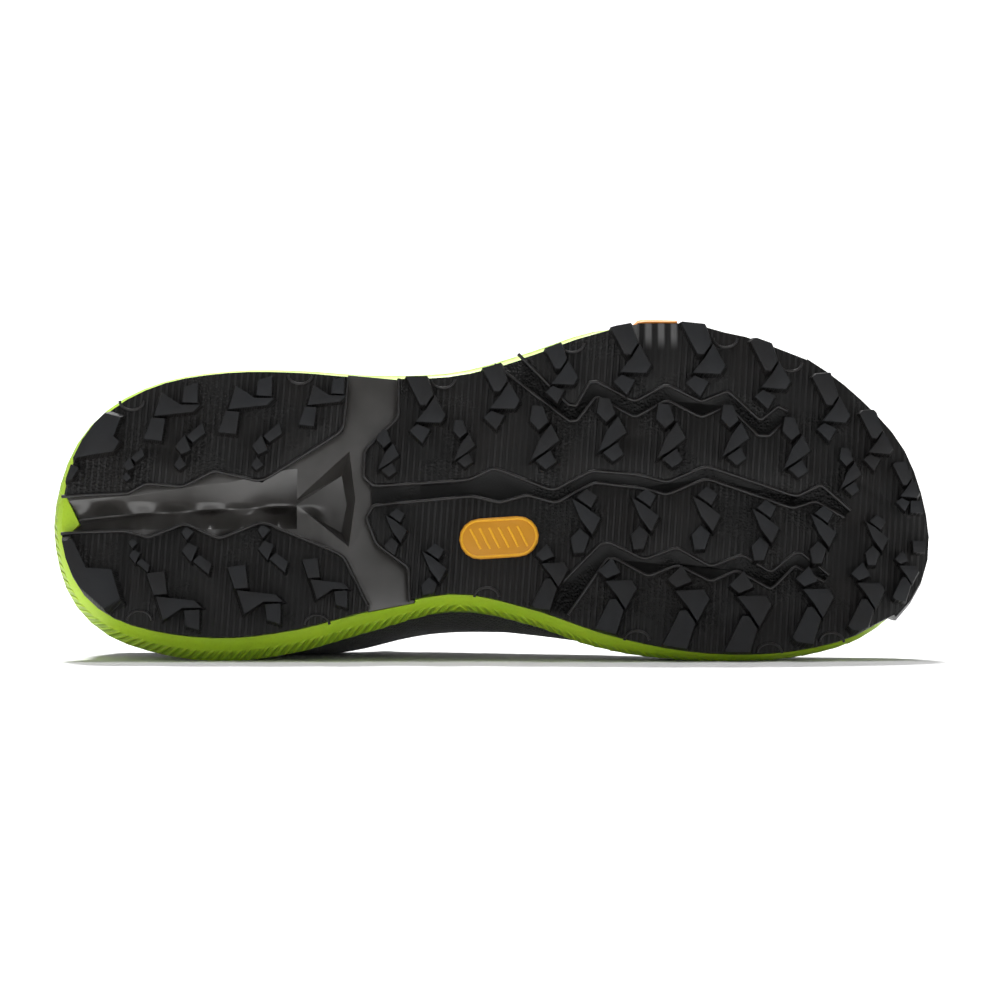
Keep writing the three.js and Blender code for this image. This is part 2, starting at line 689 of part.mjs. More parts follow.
// A solid from rings of equal count, bottom to top, each counter-clockwise from above
function stackRings(rings, capFaces = flatFaces) {
  const count = rings[0].length;
  const points = rings.flat();
  const faces = [];
  for (let k = 0; k < rings.length - 1; k += 1) {
    for (let i = 0; i < count; i += 1) {
      const next = (i + 1) % count;
      const [a, b, c, d] = [k * count + i, k * count + next, (k + 1) * count + next, (k + 1) * count + i];
      faces.push([a, b, c], [a, c, d]);
    }
  }
  const top = (rings.length - 1) * count;
  for (const [a, b, c] of capFaces(rings[0])) {
    faces.push([a, c, b]);
    faces.push([top + a, top + b, top + c]);
  }
  return { points, faces };
}

function counterClockwise(corners) {
  const area = THREE.ShapeUtils.area(corners.map(([x, y]) => new THREE.Vector2(x, y)));
  return area < 0 ? [...corners].reverse() : corners;
}

function prism(corners, bottom, top) {
  const ring = counterClockwise(corners);
  return stackRings([
    ring.map(([x, y]) => [x, y, bottom]),
    ring.map(([x, y]) => [x, y, top]),
  ]);
}

// A place in the tread, from its shares of the length and of the ball width
function treadPlace(along, across) {
  return [along * SHOE_LENGTH, (across + TREAD_LINE) * BALL_WIDTH];
}

function inMillimetres(corners) {
  return corners.map(([along, across]) => treadPlace(along, across));
}

// Rubber outsole, modelled flat

const OUTSIDE = 0.8;

// How far the rubber's edge has come out to meet a wrap: 1 between two turns, fading beside them
function wrapBetween(first, last, turn) {
  const fade = 1.5 / RING;
  return smoothStep(first - fade, first, turn) * (1 - smoothStep(last, last + fade, turn));
}

function wrapShare(turn) {
  const toe = [turnOf(TOE_WRAP.lateral, 'lateral'), turnOf(TOE_WRAP.medial, 'medial')];
  const ball = [turnOf(BALL_WRAP.start, 'lateral'), turnOf(BALL_WRAP.end, 'lateral')];
  return Math.max(wrapBetween(...toe, turn), wrapBetween(...ball, turn));
}

function outsoleRing() {
  const ring = [];
  for (let i = 0; i < RING; i += 1) {
    const turn = i / RING;
    const [x, y] = sidePoint(turn, 0, (GAP + WRAP * 0.75) * wrapShare(turn));
    ring.push([x, y]);
  }
  return ring;
}

function lugBlocks(lugs, mirrored) {
  const blocks = [];
  for (const lug of lugs) {
    const scale = LUG_SIZE * lug.size;
    for (const corners of LUG_KINDS[lug.kind]) {
      const [x, y] = treadPlace(lug.along, lug.across);
      const placed = counterClockwise(corners.map(([ahead, aside]) => [
        x + ahead * scale,
        y + aside * scale * (mirrored ? -1 : 1),
      ]));
      const middle = [0, 1].map((k) => (
        placed.reduce((sum, corner) => sum + corner[k], 0) / placed.length
      ));
      const grown = placed.map((corner) => corner.map((value, k) => (
        value + (value - middle[k]) * LUG_DRAFT
      )));
      blocks.push(toSolid(stackRings([
        placed.map((corner) => [...corner, 0]),
        grown.map((corner) => [...corner, LUG_HEIGHT + RUBBER / 4]),
      ])));
    }
  }
  return blocks;
}

function groove({ outer, inner }) {
  const corners = inMillimetres([...outer, ...[...inner].reverse()]);
  return toSolid(prism(corners, -1, LUG_HEIGHT + GROOVE_DEPTH));
}

function outsolePiece(region, lugs, grooves, climbs) {
  const area = toSolid(prism(inMillimetres(region), -1, PLATE_TOP));
  const ring = outsoleRing();
  const plate = toSolid(prism(ring, LUG_HEIGHT, PLATE_TOP)).intersect(area);
  const footprint = toSolid(prism(ring, -1, PLATE_TOP)).intersect(area);
  let solid = plate;
  for (const cut of grooves) {
    solid = solid.subtract(cut);
  }
  const blocks = wasm.Manifold.union(lugs).intersect(footprint);
  solid = solid.add(blocks);
  for (const climb of climbs) {
    solid = solid.add(climb);
  }
  return fromSolid(solid);
}

// A slab that follows the sidewall between two turns, in the flat
function sideSlab(firstStep, lastStep, levels, inside, outside, skirt) {
  const columns = [];
  for (let i = firstStep; i <= lastStep; i += 1) {
    const turn = i / RING;
    const column = [];
    const row = (level, outward, height) => {
      const [x, y] = sidePoint(turn, level, outward);
      return [x, y, height ?? flatHeight(x, level)];
    };
    if (skirt) {
      column.push(row(0, outside, LUG_HEIGHT + RUBBER / 3));
    }
    for (const level of levels) {
      column.push(row(level, outside));
    }
    for (const level of [...levels].reverse()) {
      column.push(row(level, inside));
    }
    if (skirt) {
      column.push(row(0, inside, LUG_HEIGHT + RUBBER / 3));
    }
    columns.push(column);
  }
  return sweptSolid(columns);
}

// A solid from closed sections of equal count, one after another, with flat ends
function sweptSolid(sections) {
  const count = sections[0].length;
  const points = sections.flat();
  const faces = [];
  for (let k = 0; k < sections.length - 1; k += 1) {
    for (let i = 0; i < count; i += 1) {
      const next = (i + 1) % count;
      const [a, b, c, d] = [k * count + i, k * count + next, (k + 1) * count + next, (k + 1) * count + i];
      faces.push([a, b, c], [a, c, d]);
    }
  }
  const last = (sections.length - 1) * count;
  const half = count / 2;
  for (let i = 0; i < half - 1; i += 1) {
    const [a, b, c, d] = [i, i + 1, count - 2 - i, count - 1 - i];
    faces.push([a, c, b], [a, d, c]);
    faces.push([last + a, last + b, last + c], [last + a, last + c, last + d]);
  }
  return outwardFacing({ points, faces });
}

function outwardFacing(body) {
  let volume = 0;
  for (const [a, b, c] of body.faces) {
    const [p, q, r] = [a, b, c].map((i) => new THREE.Vector3(...body.points[i].slice(0, 3)));
    volume += p.dot(q.cross(r));
  }
  return volume > 0 ? body : { points: body.points, faces: body.faces.map(([a, b, c]) => [a, c, b]) };
}

const WRAP_LEVELS = [0, 0.12, 0.3, 0.65, 0.97];

function toeWrap() {
  const first = Math.round(turnOf(TOE_WRAP.lateral, 'lateral') * RING);
  const last = Math.round(turnOf(TOE_WRAP.medial, 'medial') * RING);
  return toSolid(sideSlab(first, last, WRAP_LEVELS, GAP * 1.5, GAP + WRAP, true));
}

function ballWrap() {
  const first = Math.round(turnOf(BALL_WRAP.start, 'lateral') * RING);
  const last = Math.round(turnOf(BALL_WRAP.end, 'lateral') * RING);
  const levels = [0, 0.12, 0.3, BALL_WRAP.top];
  return toSolid(sideSlab(first, last, levels, GAP * 1.5, GAP + WRAP, true));
}

function makeForefoot() {
  const region = [...FOREFOOT_EDGE, [FOREFOOT_EDGE.at(-1)[0], OUTSIDE], [1.2, OUTSIDE], [1.2, -OUTSIDE],
    [FOREFOOT_EDGE[0][0], -OUTSIDE]];
  const lugs = [...lugBlocks(LATERAL_LUGS, true), ...lugBlocks(MEDIAL_LUGS, false)];
  const grooves = [LATERAL_GROOVE, MIDDLE_GROOVE, MEDIAL_GROOVE].map(groove);
  return bentSole(outsolePiece(region, lugs, grooves, [toeWrap(), ballWrap()]));
}

function makeLateralHeel() {
  const region = [[-0.1, LATERAL_BANK[0][1]], ...LATERAL_BANK, [LATERAL_BANK.at(-1)[0], -OUTSIDE],
    [-0.1, -OUTSIDE]];
  return bentSole(outsolePiece(region, lugBlocks(LATERAL_HEEL_LUGS, true), [], []));
}

function makeMedialHeel() {
  const region = [[-0.1, MEDIAL_BANK[0][1]], ...MEDIAL_BANK, [MEDIAL_BANK.at(-1)[0], OUTSIDE],
    [-0.1, OUTSIDE]];
  return bentSole(outsolePiece(region, lugBlocks(MEDIAL_HEEL_LUGS, false), [], []));
}

// Outline of the inlay: straight sides and round ends
function pill(length, width, steps) {
  const radius = width / 2;
  const corners = [];
  for (const side of [1, -1]) {
    for (let i = 0; i <= steps; i += 1) {
      const angle = -Math.PI / 2 + (Math.PI * i) / steps;
      corners.push([
        side * ((length / 2 - radius) + radius * Math.cos(angle)),
        side * radius * Math.sin(angle),
      ]);
    }
  }
  return corners;
}

function makeInlay() {
  const [middleX, middleY] = treadPlace(INLAY.along, INLAY.across);
  const corners = pill(INLAY_LENGTH, INLAY_WIDTH, 8).map(([x, y]) => [
    middleX + x * Math.cos(INLAY.turn) - y * Math.sin(INLAY.turn),
    middleY + x * Math.sin(INLAY.turn) + y * Math.cos(INLAY.turn),
  ]);
  return bentSole(prism(corners, LUG_HEIGHT - GAP - INLAY_THICKNESS, LUG_HEIGHT - GAP));
}

// Web of the heel channel, set into a pocket of the foam

function webCorners(grow) {
  const lateral = LATERAL_BANK.slice(1);
  const medial = MEDIAL_BANK.slice(1);
  const shift = (corner, side) => [corner[0], corner[1] + side * grow / BALL_WIDTH];
  const heelEnd = WEB_START - grow / SHOE_LENGTH;
  return inMillimetres([
    [heelEnd, LATERAL_BANK[0][1] - grow / BALL_WIDTH],
    ...lateral.map((corner) => shift(corner, -1)),
    ...FOREFOOT_EDGE.map((corner) => [corner[0] + grow / SHOE_LENGTH, corner[1]]),
    ...[...medial].reverse().map((corner) => shift(corner, 1)),
    [heelEnd, MEDIAL_BANK[0][1] + grow / BALL_WIDTH],
    [heelEnd + NOTCH_TIP, HEEL_NOTCH.across - TREAD_LINE],
  ]);
}

function makeWeb() {
  let solid = toSolid(prism(webCorners(WEB_OVERLAP), FOAM_BOTTOM, FOAM_BOTTOM + WEB_DEPTH));
  const sections = CHANNEL.map((row) => {
    const x = row.along * SHOE_LENGTH;
    const deep = FOAM_BOTTOM + CHANNEL_DEPTH * row.depth;
    const valley = (row.valley + TREAD_LINE) * BALL_WIDTH;
    return [
      [x, (row.lateral + TREAD_LINE) * BALL_WIDTH, FOAM_BOTTOM - 1],
      [x, (row.medial + TREAD_LINE) * BALL_WIDTH, FOAM_BOTTOM - 1],
      [x, valley + GAP, deep],
      [x, valley - GAP, deep],
    ];
  });
  solid = solid.subtract(toSolid(sweptSolid(sections)));
  const tip = treadPlace(...PIT[0]);
  const corners = counterClockwise(inMillimetres(PIT));
  const floor = FOAM_BOTTOM + CHANNEL_DEPTH * 1.3;
  const pit = stackRings([
    corners.map(([x, y]) => [x, y, FOAM_BOTTOM - 1]),
    corners.map(([x, y]) => [x, y, FOAM_BOTTOM + 0.5]),
    corners.map(([x, y]) => [blend(x, tip[0], 0.15), blend(y, tip[1], 0.4), floor]),
  ]);
  solid = solid.subtract(toSolid(pit));
  return bentSole(fromSolid(solid));
}

// Foam midsole

function ringOf(turns, level, offset) {
  return turns.map((turn, i) => sidePoint(turn, level, offset(turn, i)));
}

function stitch(lower, upper, lowerTurns, upperTurns, lowerStart, upperStart, faces) {
  const [n, m] = [lower, upper];
  let i = 0;
  let j = 0;
  const turnAt = (turns, k) => (k < turns.length ? turns[k] : turns[k - turns.length] + 1);
  while (i < n || j < m) {
    const nextLower = turnAt(lowerTurns, i + 1);
    const nextUpper = turnAt(upperTurns, j + 1);
    const a = lowerStart + (i % n);
    const b = upperStart + (j % m);
    if (j >= m || (i < n && nextLower <= nextUpper)) {
      faces.push([a, lowerStart + ((i + 1) % n), b]);
      i += 1;
    } else {
      faces.push([a, upperStart + ((j + 1) % m), b]);
      j += 1;
    }
  }
}

function ribShift(turn) {
  const flipMedial = turnOf(0.43, 'medial');
  const flipLateral = turnOf(0.43, 'lateral');
  const width = 0.02;
  const front = smoothStep(flipLateral - width, flipLateral + width, turn)
    * (1 - smoothStep(flipMedial - width, flipMedial + width, turn));
  return (1 - 2 * front) * (turn < TOE_TURN ? 1 : -1);
}

function makeMidsole() {
  const even = Array.from({ length: RING }, (_, i) => i / RING);
  const ribs = Math.round(outlineLength / RIB_PITCH);
  const ribTurns = Array.from({ length: ribs * 2 }, (_, i) => i / (ribs * 2));
  const slant = RIB_SLANT / outlineLength / 2;
  const lowTurns = ribTurns.map((turn) => turn + slant * ribShift(turn));
  const highTurns = ribTurns.map((turn) => turn - slant * ribShift(turn));
  const ribOffset = (turn, i) => (i % 2 ? -RIB_DEPTH : 0);
  const flush = () => 0;
  const rows = [
    { turns: even, level: 0, offset: flush },
    { turns: even, level: 0.12, offset: flush },
    { turns: even, level: 0.3, offset: flush },
    { turns: lowTurns, level: RIB_START, offset: ribOffset },
    { turns: highTurns, level: RIB_END, offset: ribOffset },
    { turns: even, level: 1, offset: flush },
  ];
  const points = [];
  const faces = [];
  const starts = [];
  for (const row of rows) {
    starts.push(points.length);
    points.push(...ringOf(row.turns, row.level, row.offset));
  }
  for (let k = 0; k < rows.length - 1; k += 1) {
    const [low, high] = [rows[k], rows[k + 1]];
    stitch(low.turns.length, high.turns.length, low.turns, high.turns, starts[k], starts[k + 1], faces);
  }
  const top = starts.at(-1);
  for (const [a, b, c] of pairedFaces(even)) {
    faces.push([a, c, b]);
    faces.push([top + a, top + b, top + c]);
  }
  const shaped = moved({ points, faces }, ([x, y, level]) => [x, y, flatHeight(x, level) + rise(x)]);
  let solid = toSolid(outwardFacing(shaped));
  solid = solid.subtract(toSolid(bentSole(prism(
    webCorners(WEB_OVERLAP + GAP),
    FOAM_BOTTOM - 1,
    FOAM_BOTTOM + WEB_DEPTH + GAP,
  ))));
  const notchY = HEEL_NOTCH.across * BALL_WIDTH;
  const corners = [
    [-HEEL_NOTCH.depth, notchY - HEEL_NOTCH.half * 1.8],
    [HEEL_NOTCH.depth, notchY - 0.8],
    [HEEL_NOTCH.depth, notchY + 0.8],
    [-HEEL_NOTCH.depth, notchY + HEEL_NOTCH.half * 1.8],
  ];
  const notch = stackRings([
    corners.map(([x, y]) => [x, y, 0]),
    corners.map(([x, y]) => [x - HEEL_NOTCH.depth * 1.4, y, HEEL_NOTCH.height + HEEL_BEVEL]),
  ]);
  return fromSolid(solid.subtract(toSolid(notch)));
}

// Tab beside the ball

function makeTab() {
  const half = TAB_LENGTH / 2 / (outlineLength * TOE_TURN);
  const first = turnOf(TAB_CENTRE - half, 'lateral');
  const last = turnOf(TAB_CENTRE + half, 'lateral');
  const sections = [];
  for (let i = 0; i <= 4; i += 1) {
    const turn = blend(first, last, i / 4);
    const section = [];
    const levels = [TAB_BOTTOM, (TAB_BOTTOM + TAB_TOP) / 2, TAB_TOP];
    const at = (level, outward) => {
      const [x, y] = sidePoint(turn, level, outward);
      return [x, y, flatHeight(x, level) + rise(x)];
    };
    for (const level of levels) {
      section.push(at(level, GAP + WRAP));
    }
    for (const level of [...levels].reverse()) {
      section.push(at(level, GAP));
    }
    sections.push(section);
  }
  return sweptSolid(sections);
}

// The upper's own surface

function topLine(way, side) {
  const read = (column) => readTable(TOP_LINE, 'way', way, column);
  const ridge = RIDGE_SHIFT * BALL_WIDTH * smoothStep(THROAT_END, 1, way);
  const half = Math.max(read('half'), 0) * BALL_WIDTH * (way < THROAT_END ? 1 : 0);
  return new THREE.Vector3(
    read('along') * SHOE_LENGTH,
    ridge + (side === 'lateral' ? -half : half),
    read('collar') * COLLAR_HEIGHT + read('instep') * INSTEP_HEIGHT + read('toe') * TOE_HEIGHT,
  );
}

function skinPoint(way, side, height) {
  const edge = outlineAt(turnOf(way, side));
  const inset = sideInset(edge, 1) + FEATHER;
  const start = new THREE.Vector3(edge.x - edge.outX * inset, edge.y - edge.outY * inset, 0);
  start.z = footbed(start.x) + GAP;
  const end = topLine(way, side);
  const table = side === 'lateral' ? LATERAL_WALL : MEDIAL_WALL;
  const read = (column) => readTable(table, 'way', way, column);
  const ahead = topLine(Math.min(way + 0.01, 1), side);
  const behind = topLine(way - 0.01, side);
  const slope = way > THROAT_END ? (ahead.z - behind.z) / (ahead.x - behind.x) : 0;
  const out = new THREE.Vector3(edge.outX, edge.outY, 0);
  const low = start.clone().addScaledVector(out, read('lowOut'));
  low.z += read('lowUp');
  const high = end.clone().addScaledVector(out, read('topOut'));
  high.z += slope * edge.outX * read('topOut') - read('topDown');
  const t = height;
  const s = 1 - t;
  return start.multiplyScalar(s ** 3)
    .addScaledVector(low, 3 * s * s * t)
    .addScaledVector(high, 3 * s * t * t)
    .addScaledVector(end, t ** 3);
}

function vertexDirections(body) {
  const directions = body.points.map(() => new THREE.Vector3());
  for (const face of body.faces) {
    const [p, q, r] = face.map((i) => new THREE.Vector3(...body.points[i].slice(0, 3)));
    const normal = q.sub(p).cross(r.sub(p));
    for (const i of face) {
      directions[i].add(normal);
    }
  }
  return directions.map((direction) => direction.normalize());
}

function makeSkin() {
  const points = [];
  const faces = [];
  const columns = [];
  for (let i = 0; i < 2 * SKIN_COLUMNS; i += 1) {
    const side = i <= SKIN_COLUMNS ? 'lateral' : 'medial';
    const way = (side === 'lateral' ? i : 2 * SKIN_COLUMNS - i) / SKIN_COLUMNS;
    columns.push({ side, way });
  }
  for (const { side, way } of columns) {
    for (let j = 0; j <= SKIN_ROWS; j += 1) {
      const height = j / SKIN_ROWS;
      const { x, y, z } = skinPoint(way, side, height);
      points.push([x, y, z, way, height]);
    }
  }
  const row = SKIN_ROWS + 1;
  for (let i = 0; i < columns.length; i += 1) {
    const next = (i + 1) % columns.length;
    for (let j = 0; j < SKIN_ROWS; j += 1) {
      const [a, b, c, d] = [i * row + j, next * row + j, next * row + j + 1, i * row + j + 1];
      if (columns[i].side === 'lateral') {
        faces.push([a, b, c], [a, c, d]);
      } else {
        faces.push([a, b, d], [b, c, d]);
      }
    }
  }
  const welded = weld({ points, faces });
  const directions = vertexDirections(welded);
  welded.points.forEach((point, i) => {
    const direction = directions[i];
    if (point[4] === 0) {
      direction.setZ(0).normalize();
    }
    point.push(direction.x, direction.y, direction.z);
  });
  return welded;
}

const skin = makeSkin();

function along(point, distance) {
  return [0, 1, 2].map((k) => point[k] + point[5 + k] * distance);
}

// A closed wall between two offsets of a surface
function thicken(surface, inside, outside) {
  const used = new Map();
  const points = [];
  const faces = [];
  const edges = new Map();
  const number = (i) => {
    if (!used.has(i)) {
      used.set(i, points.length);
      points.push(along(surface.points[i], outside(surface.points[i])));
      points.push(along(surface.points[i], inside(surface.points[i])));
    }
    return used.get(i);
  };
  for (const face of surface.faces) {
    const [a, b, c] = face.map(number);
    faces.push([a, b, c], [a + 1, c + 1, b + 1]);
    for (const [p, q] of [[a, b], [b, c], [c, a]]) {
      edges.set(`${p}_${q}`, [p, q]);
    }
  }
  for (const [p, q] of edges.values()) {
    if (!edges.has(`${q}_${p}`)) {
      faces.push([p, p + 1, q + 1], [p, q + 1, q]);
    }
  }
  return outwardFacing({ points, faces });
}

function eyeletPlaces(side) {
  const places = [];
  for (let k = 0; k < EYELET_PAIRS; k += 1) {
    const way = blend(EYELET_FIRST, EYELET_LAST, k / (EYELET_PAIRS - 1));
    const at = skinPoint(way, side, 1 - EYELET_DEPTH);
    const forward = skinPoint(way + 0.01, side, 1 - EYELET_DEPTH).sub(at);
    const down = skinPoint(way, side, 1 - EYELET_DEPTH * 1.5).sub(at);
    const out = forward.cross(down).normalize();
    if (out.z < 0) {
      out.negate();
    }
    places.push({ at, out });
  }
  return places;
}

function eyeletCuts() {
  const cuts = [];
  for (const side of ['lateral', 'medial']) {
    for (const { at, out } of eyeletPlaces(side)) {
      const cylinder = new THREE.CylinderGeometry(EYELET_RADIUS, EYELET_RADIUS, 14, 6);
      cylinder.applyQuaternion(new THREE.Quaternion().setFromUnitVectors(new THREE.Vector3(0, 1, 0), out));
      cylinder.translate(at.x, at.y, at.z);
      cuts.push(toSolid(fromGeometry(cylinder)));
    }
  }
  return wasm.Manifold.union(cuts);
}

function fromGeometry(geometry) {
  const position = geometry.getAttribute('position');
  const points = [];
  for (let i = 0; i < position.count; i += 1) {
    points.push([position.getX(i), position.getY(i), position.getZ(i)]);
  }
  const index = [...geometry.getIndex().array];
  const faces = [];
  for (let i = 0; i < index.length; i += 3) {
    faces.push(index.slice(i, i + 3));
  }
  return weld({ points, faces });
}

const holes = eyeletCuts();

function makeUpper() {
  const thickness = (point) => {
    const [way, height] = [point[3], point[4]];
    const collar = 1 - smoothStep(COLLAR_END - 0.08, COLLAR_END, way);
    const padded = collar * smoothStep(COLLAR_PADDING_START, 0.85, height);
    return -blend(WALL, COLLAR_WALL, padded);
  };
  const wall = thicken(skin, thickness, () => 0);
  return fromSolid(toSolid(wall).subtract(holes));
}

function overlay(field) {
  const split = splitWhere(skin, field);
  const kept = keepFaces(split, (point) => field(point) < 0);
  return thicken(kept, () => GAP, () => GAP + OVERLAY);
}

function makeToeGuard() {
  return overlay((point) => point[4] - readTable(TOE_GUARD, 'way', point[3], 'height'));
}

function makeHeelCounter() {
  return overlay((point) => point[4] - readTable(HEEL_COUNTER, 'way', point[3], 'height'));
}

function makeEyestay() {
  const field = (point) => {
    const [way, height] = [point[3], point[4]];
    const front = Math.max(way - THROAT_END, 0) / EYESTAY_FRONT;
    const back = Math.max(THROAT_CORNER - way, 0) / EYESTAY_FRONT;
    return (1 - height) / EYESTAY_DEPTH + front + back - 1;
  };
  return fromSolid(toSolid(overlay(field)).subtract(holes));
}

// Insole

function makeInsole() {
  const ring = [];
  for (let i = 0; i < RING; i += 2) {
    const edge = outlineAt(i / RING);
    const inset = sideInset(edge, 1) + FEATHER + WALL + 1.5 + 1.5 * Math.max(edge.outX, 0);
    ring.push([edge.x - edge.outX * inset, edge.y - edge.outY * inset]);
  }
  const body = stackRings([
    ring.map(([x, y]) => [x, y, 0]),
    ring.map(([x, y]) => [x, y, INSOLE]),
  ], pairedFaces);
  return moved(body, ([x, y, z]) => [x, y, footbed(x) + GAP * 1.5 + z]);
}

// Tongue under the throat

function makeTongue() {
  const firstColumn = Math.ceil(THROAT_CORNER * SKIN_COLUMNS);
  const lastColumn = Math.round(THROAT_END * SKIN_COLUMNS) + 1;
  const directionOf = new Map(skin.points.map((point) => [pointKey(point), point]));
  const skinAt = (column, side, row) => {
    const { x, y, z } = skinPoint(column / SKIN_COLUMNS, side, row / SKIN_ROWS);
    return directionOf.get(pointKey([x, y, z]));
  };
  const rows = [SKIN_ROWS - 2, SKIN_ROWS - 1, SKIN_ROWS];
  const section = (column, depth) => {
    const lateral = rows.map((row) => along(skinAt(column, 'lateral', row), -depth));
    const medial = rows.map((row) => along(skinAt(column, 'medial', row), -depth)).reverse();
    const [left, right] = [lateral.at(-1), medial[0]];
    const span = Math.hypot(right[1] - left[1], right[2] - left[2]);
    const middle = [0.25, 0.5, 0.75].map((share) => {
      const point = left.map((value, k) => blend(value, right[k], share));
      point[2] += span * 0.1 * 4 * share * (1 - share);
      return point;
    });
    return [...lateral, ...middle, ...medial];
  };
  const depthTop = WALL + TONGUE_GAP;
  const sections = [];
  const addSection = (top, bottom) => {
    sections.push([...top, ...[...bottom].reverse()]);
  };
  const lifted = (points, { back, up, narrow, flat }) => {
    const crest = Math.max(...points.map((point) => point[2]));
    return points.map(([x, y, z]) => [x - back, y * narrow, crest + (z - crest) * flat + up]);
  };
  const start = section(firstColumn, depthTop);
  const startBelow = section(firstColumn, depthTop + TONGUE);
  for (const step of TONGUE_TOP) {
    addSection(lifted(start, step), lifted(startBelow, step));
  }
  for (let column = firstColumn; column <= lastColumn; column += 1) {
    addSection(section(column, depthTop), section(column, depthTop + TONGUE));
  }
  return weld(sweptSolid(sections));
}

// Laces: one bar and the crossings, joined where they meet

function ribbon(from, to) {
  const steps = 4;
  const lift = GAP + OVERLAY + LACE_THICKNESS / 2 + LACE_CLEARANCE;
  const start = from.at.clone().addScaledVector(from.out, lift);
  const end = to.at.clone().addScaledVector(to.out, lift);
  const chord = end.clone().sub(start);
  const reach = chord.length() * 0.36;
  const leave = chord.clone().projectOnPlane(from.out).setLength(reach).add(start);
  const arrive = chord.clone().negate().projectOnPlane(to.out).setLength(reach).add(end);
  const curve = new THREE.CubicBezierCurve3(start, leave, arrive, end);
  const sections = [];
  for (let i = 0; i <= steps; i += 1) {
    const share = i / steps;
    const point = curve.getPoint(share);
    const forward = curve.getTangent(share);
    const wide = forward.clone().cross(from.out.clone().lerp(to.out, share)).normalize();
    const thick = wide.clone().cross(forward).normalize();
    const corner = (a, b) => point.clone()
      .addScaledVector(wide, a * LACE_WIDTH / 2)
      .addScaledVector(thick, b * LACE_THICKNESS / 2)
      .toArray();
    sections.push([corner(-1, -1), corner(1, -1), corner(1, 1), corner(-1, 1)]);
  }
  return toSolid(sweptSolid(sections));
}

function makeLaces() {
  const lateral = eyeletPlaces('lateral');
  const medial = eyeletPlaces('medial');
  const ribbons = [ribbon(lateral[0], medial[0])];
  for (let k = 0; k < EYELET_PAIRS - 1; k += 1) {
    ribbons.push(ribbon(lateral[k], medial[k + 1]));
    ribbons.push(ribbon(medial[k], lateral[k + 1]));
  }
  return fromSolid(wasm.Manifold.union(ribbons));
}

// The shoe lies on its medial side: three lowest places, of the heel, the forefoot and the upper,
// share the floor

function findFloor(bodies) {
  const soles = [...bodies.midsole.points, ...bodies.outsole_forefoot.points];
  const groups = [
    soles.filter((point) => point[0] < SHOE_LENGTH / 2),
    soles.filter((point) => point[0] >= SHOE_LENGTH / 2),
    [...bodies.upper.points, ...bodies.eyestay.points],
  ].map((points) => points.map((point) => new THREE.Vector3(...point)));
  let down = new THREE.Vector3(0, 1, 0.17).normalize();
  for (let round = 0; round < 12; round += 1) {
    const lowest = groups.map((points) => points.reduce((best, point) => (
      point.dot(down) > best.dot(down) ? point : best
    )));
    const normal = lowest[1].clone().sub(lowest[0]).cross(lowest[2].clone().sub(lowest[0])).normalize();
    down = normal.y < 0 ? normal.negate() : normal;
  }
  const depth = Math.max(...groups.flat().map((point) => point.dot(down)));
  return { down, depth };
}

function trimmed(body, floor) {
  const limit = floor.depth - FLOOR_FLAT;
  if (body.points.every((point) => new THREE.Vector3(...point).dot(floor.down) < limit)) {
    return body;
  }
  const frame = new THREE.Quaternion().setFromUnitVectors(new THREE.Vector3(0, 0, 1), floor.down);
  const block = new THREE.BoxGeometry(3 * SHOE_LENGTH, 3 * SHOE_LENGTH, SHOE_LENGTH);
  block.translate(0, 0, SHOE_LENGTH / 2 + limit);
  block.applyQuaternion(frame);
  return fromSolid(toSolid(body).subtract(toSolid(fromGeometry(block))));
}

const RUBBER_BLACK = { color: 0x1b1b1d, roughness: 0.72, metalness: 0 };
const WEB_BLACK = { color: 0x2a2523, roughness: 0.45, metalness: 0 };
const FOAM_LIME = { color: 0x9ad714, roughness: 0.55, metalness: 0 };
const MESH_BLACK = { color: 0x161617, roughness: 0.85, metalness: 0 };
const FILM_BLACK = { color: 0x1c1c1e, roughness: 0.5, metalness: 0 };
const GOLDEN = { color: 0xf5a318, roughness: 0.5, metalness: 0 };
const ORANGE = { color: 0xe08a1e, roughness: 0.55, metalness: 0 };
const LACE_BLACK = { color: 0x202022, roughness: 0.8, metalness: 0 };

const MATERIALS = {
  outsole_forefoot: RUBBER_BLACK,
  outsole_heel_lateral: RUBBER_BLACK,
  outsole_heel_medial: RUBBER_BLACK,
  tread_inlay: GOLDEN,
  channel_web: WEB_BLACK,
  midsole: FOAM_LIME,
  side_tab: ORANGE,
  upper: MESH_BLACK,
  toe_guard: FILM_BLACK,
  heel_counter: FILM_BLACK,
  eyestay: FILM_BLACK,
  tongue: MESH_BLACK,
  insole: MESH_BLACK,
  laces: LACE_BLACK,
};

function toMesh(name, body) {
  const welded = weld(body);
  const geometry = new THREE.BufferGeometry();
  const position = new Float32Array(welded.points.flatMap((point) => point.slice(0, 3)));
  geometry.setAttribute('position', new THREE.BufferAttribute(position, 3));
  geometry.setIndex(welded.faces.flat());
  geometry.computeVertexNormals();
  const mesh = new THREE.Mesh(geometry, new THREE.MeshStandardMaterial(MATERIALS[name]));
  mesh.name = name;
  return mesh;
}

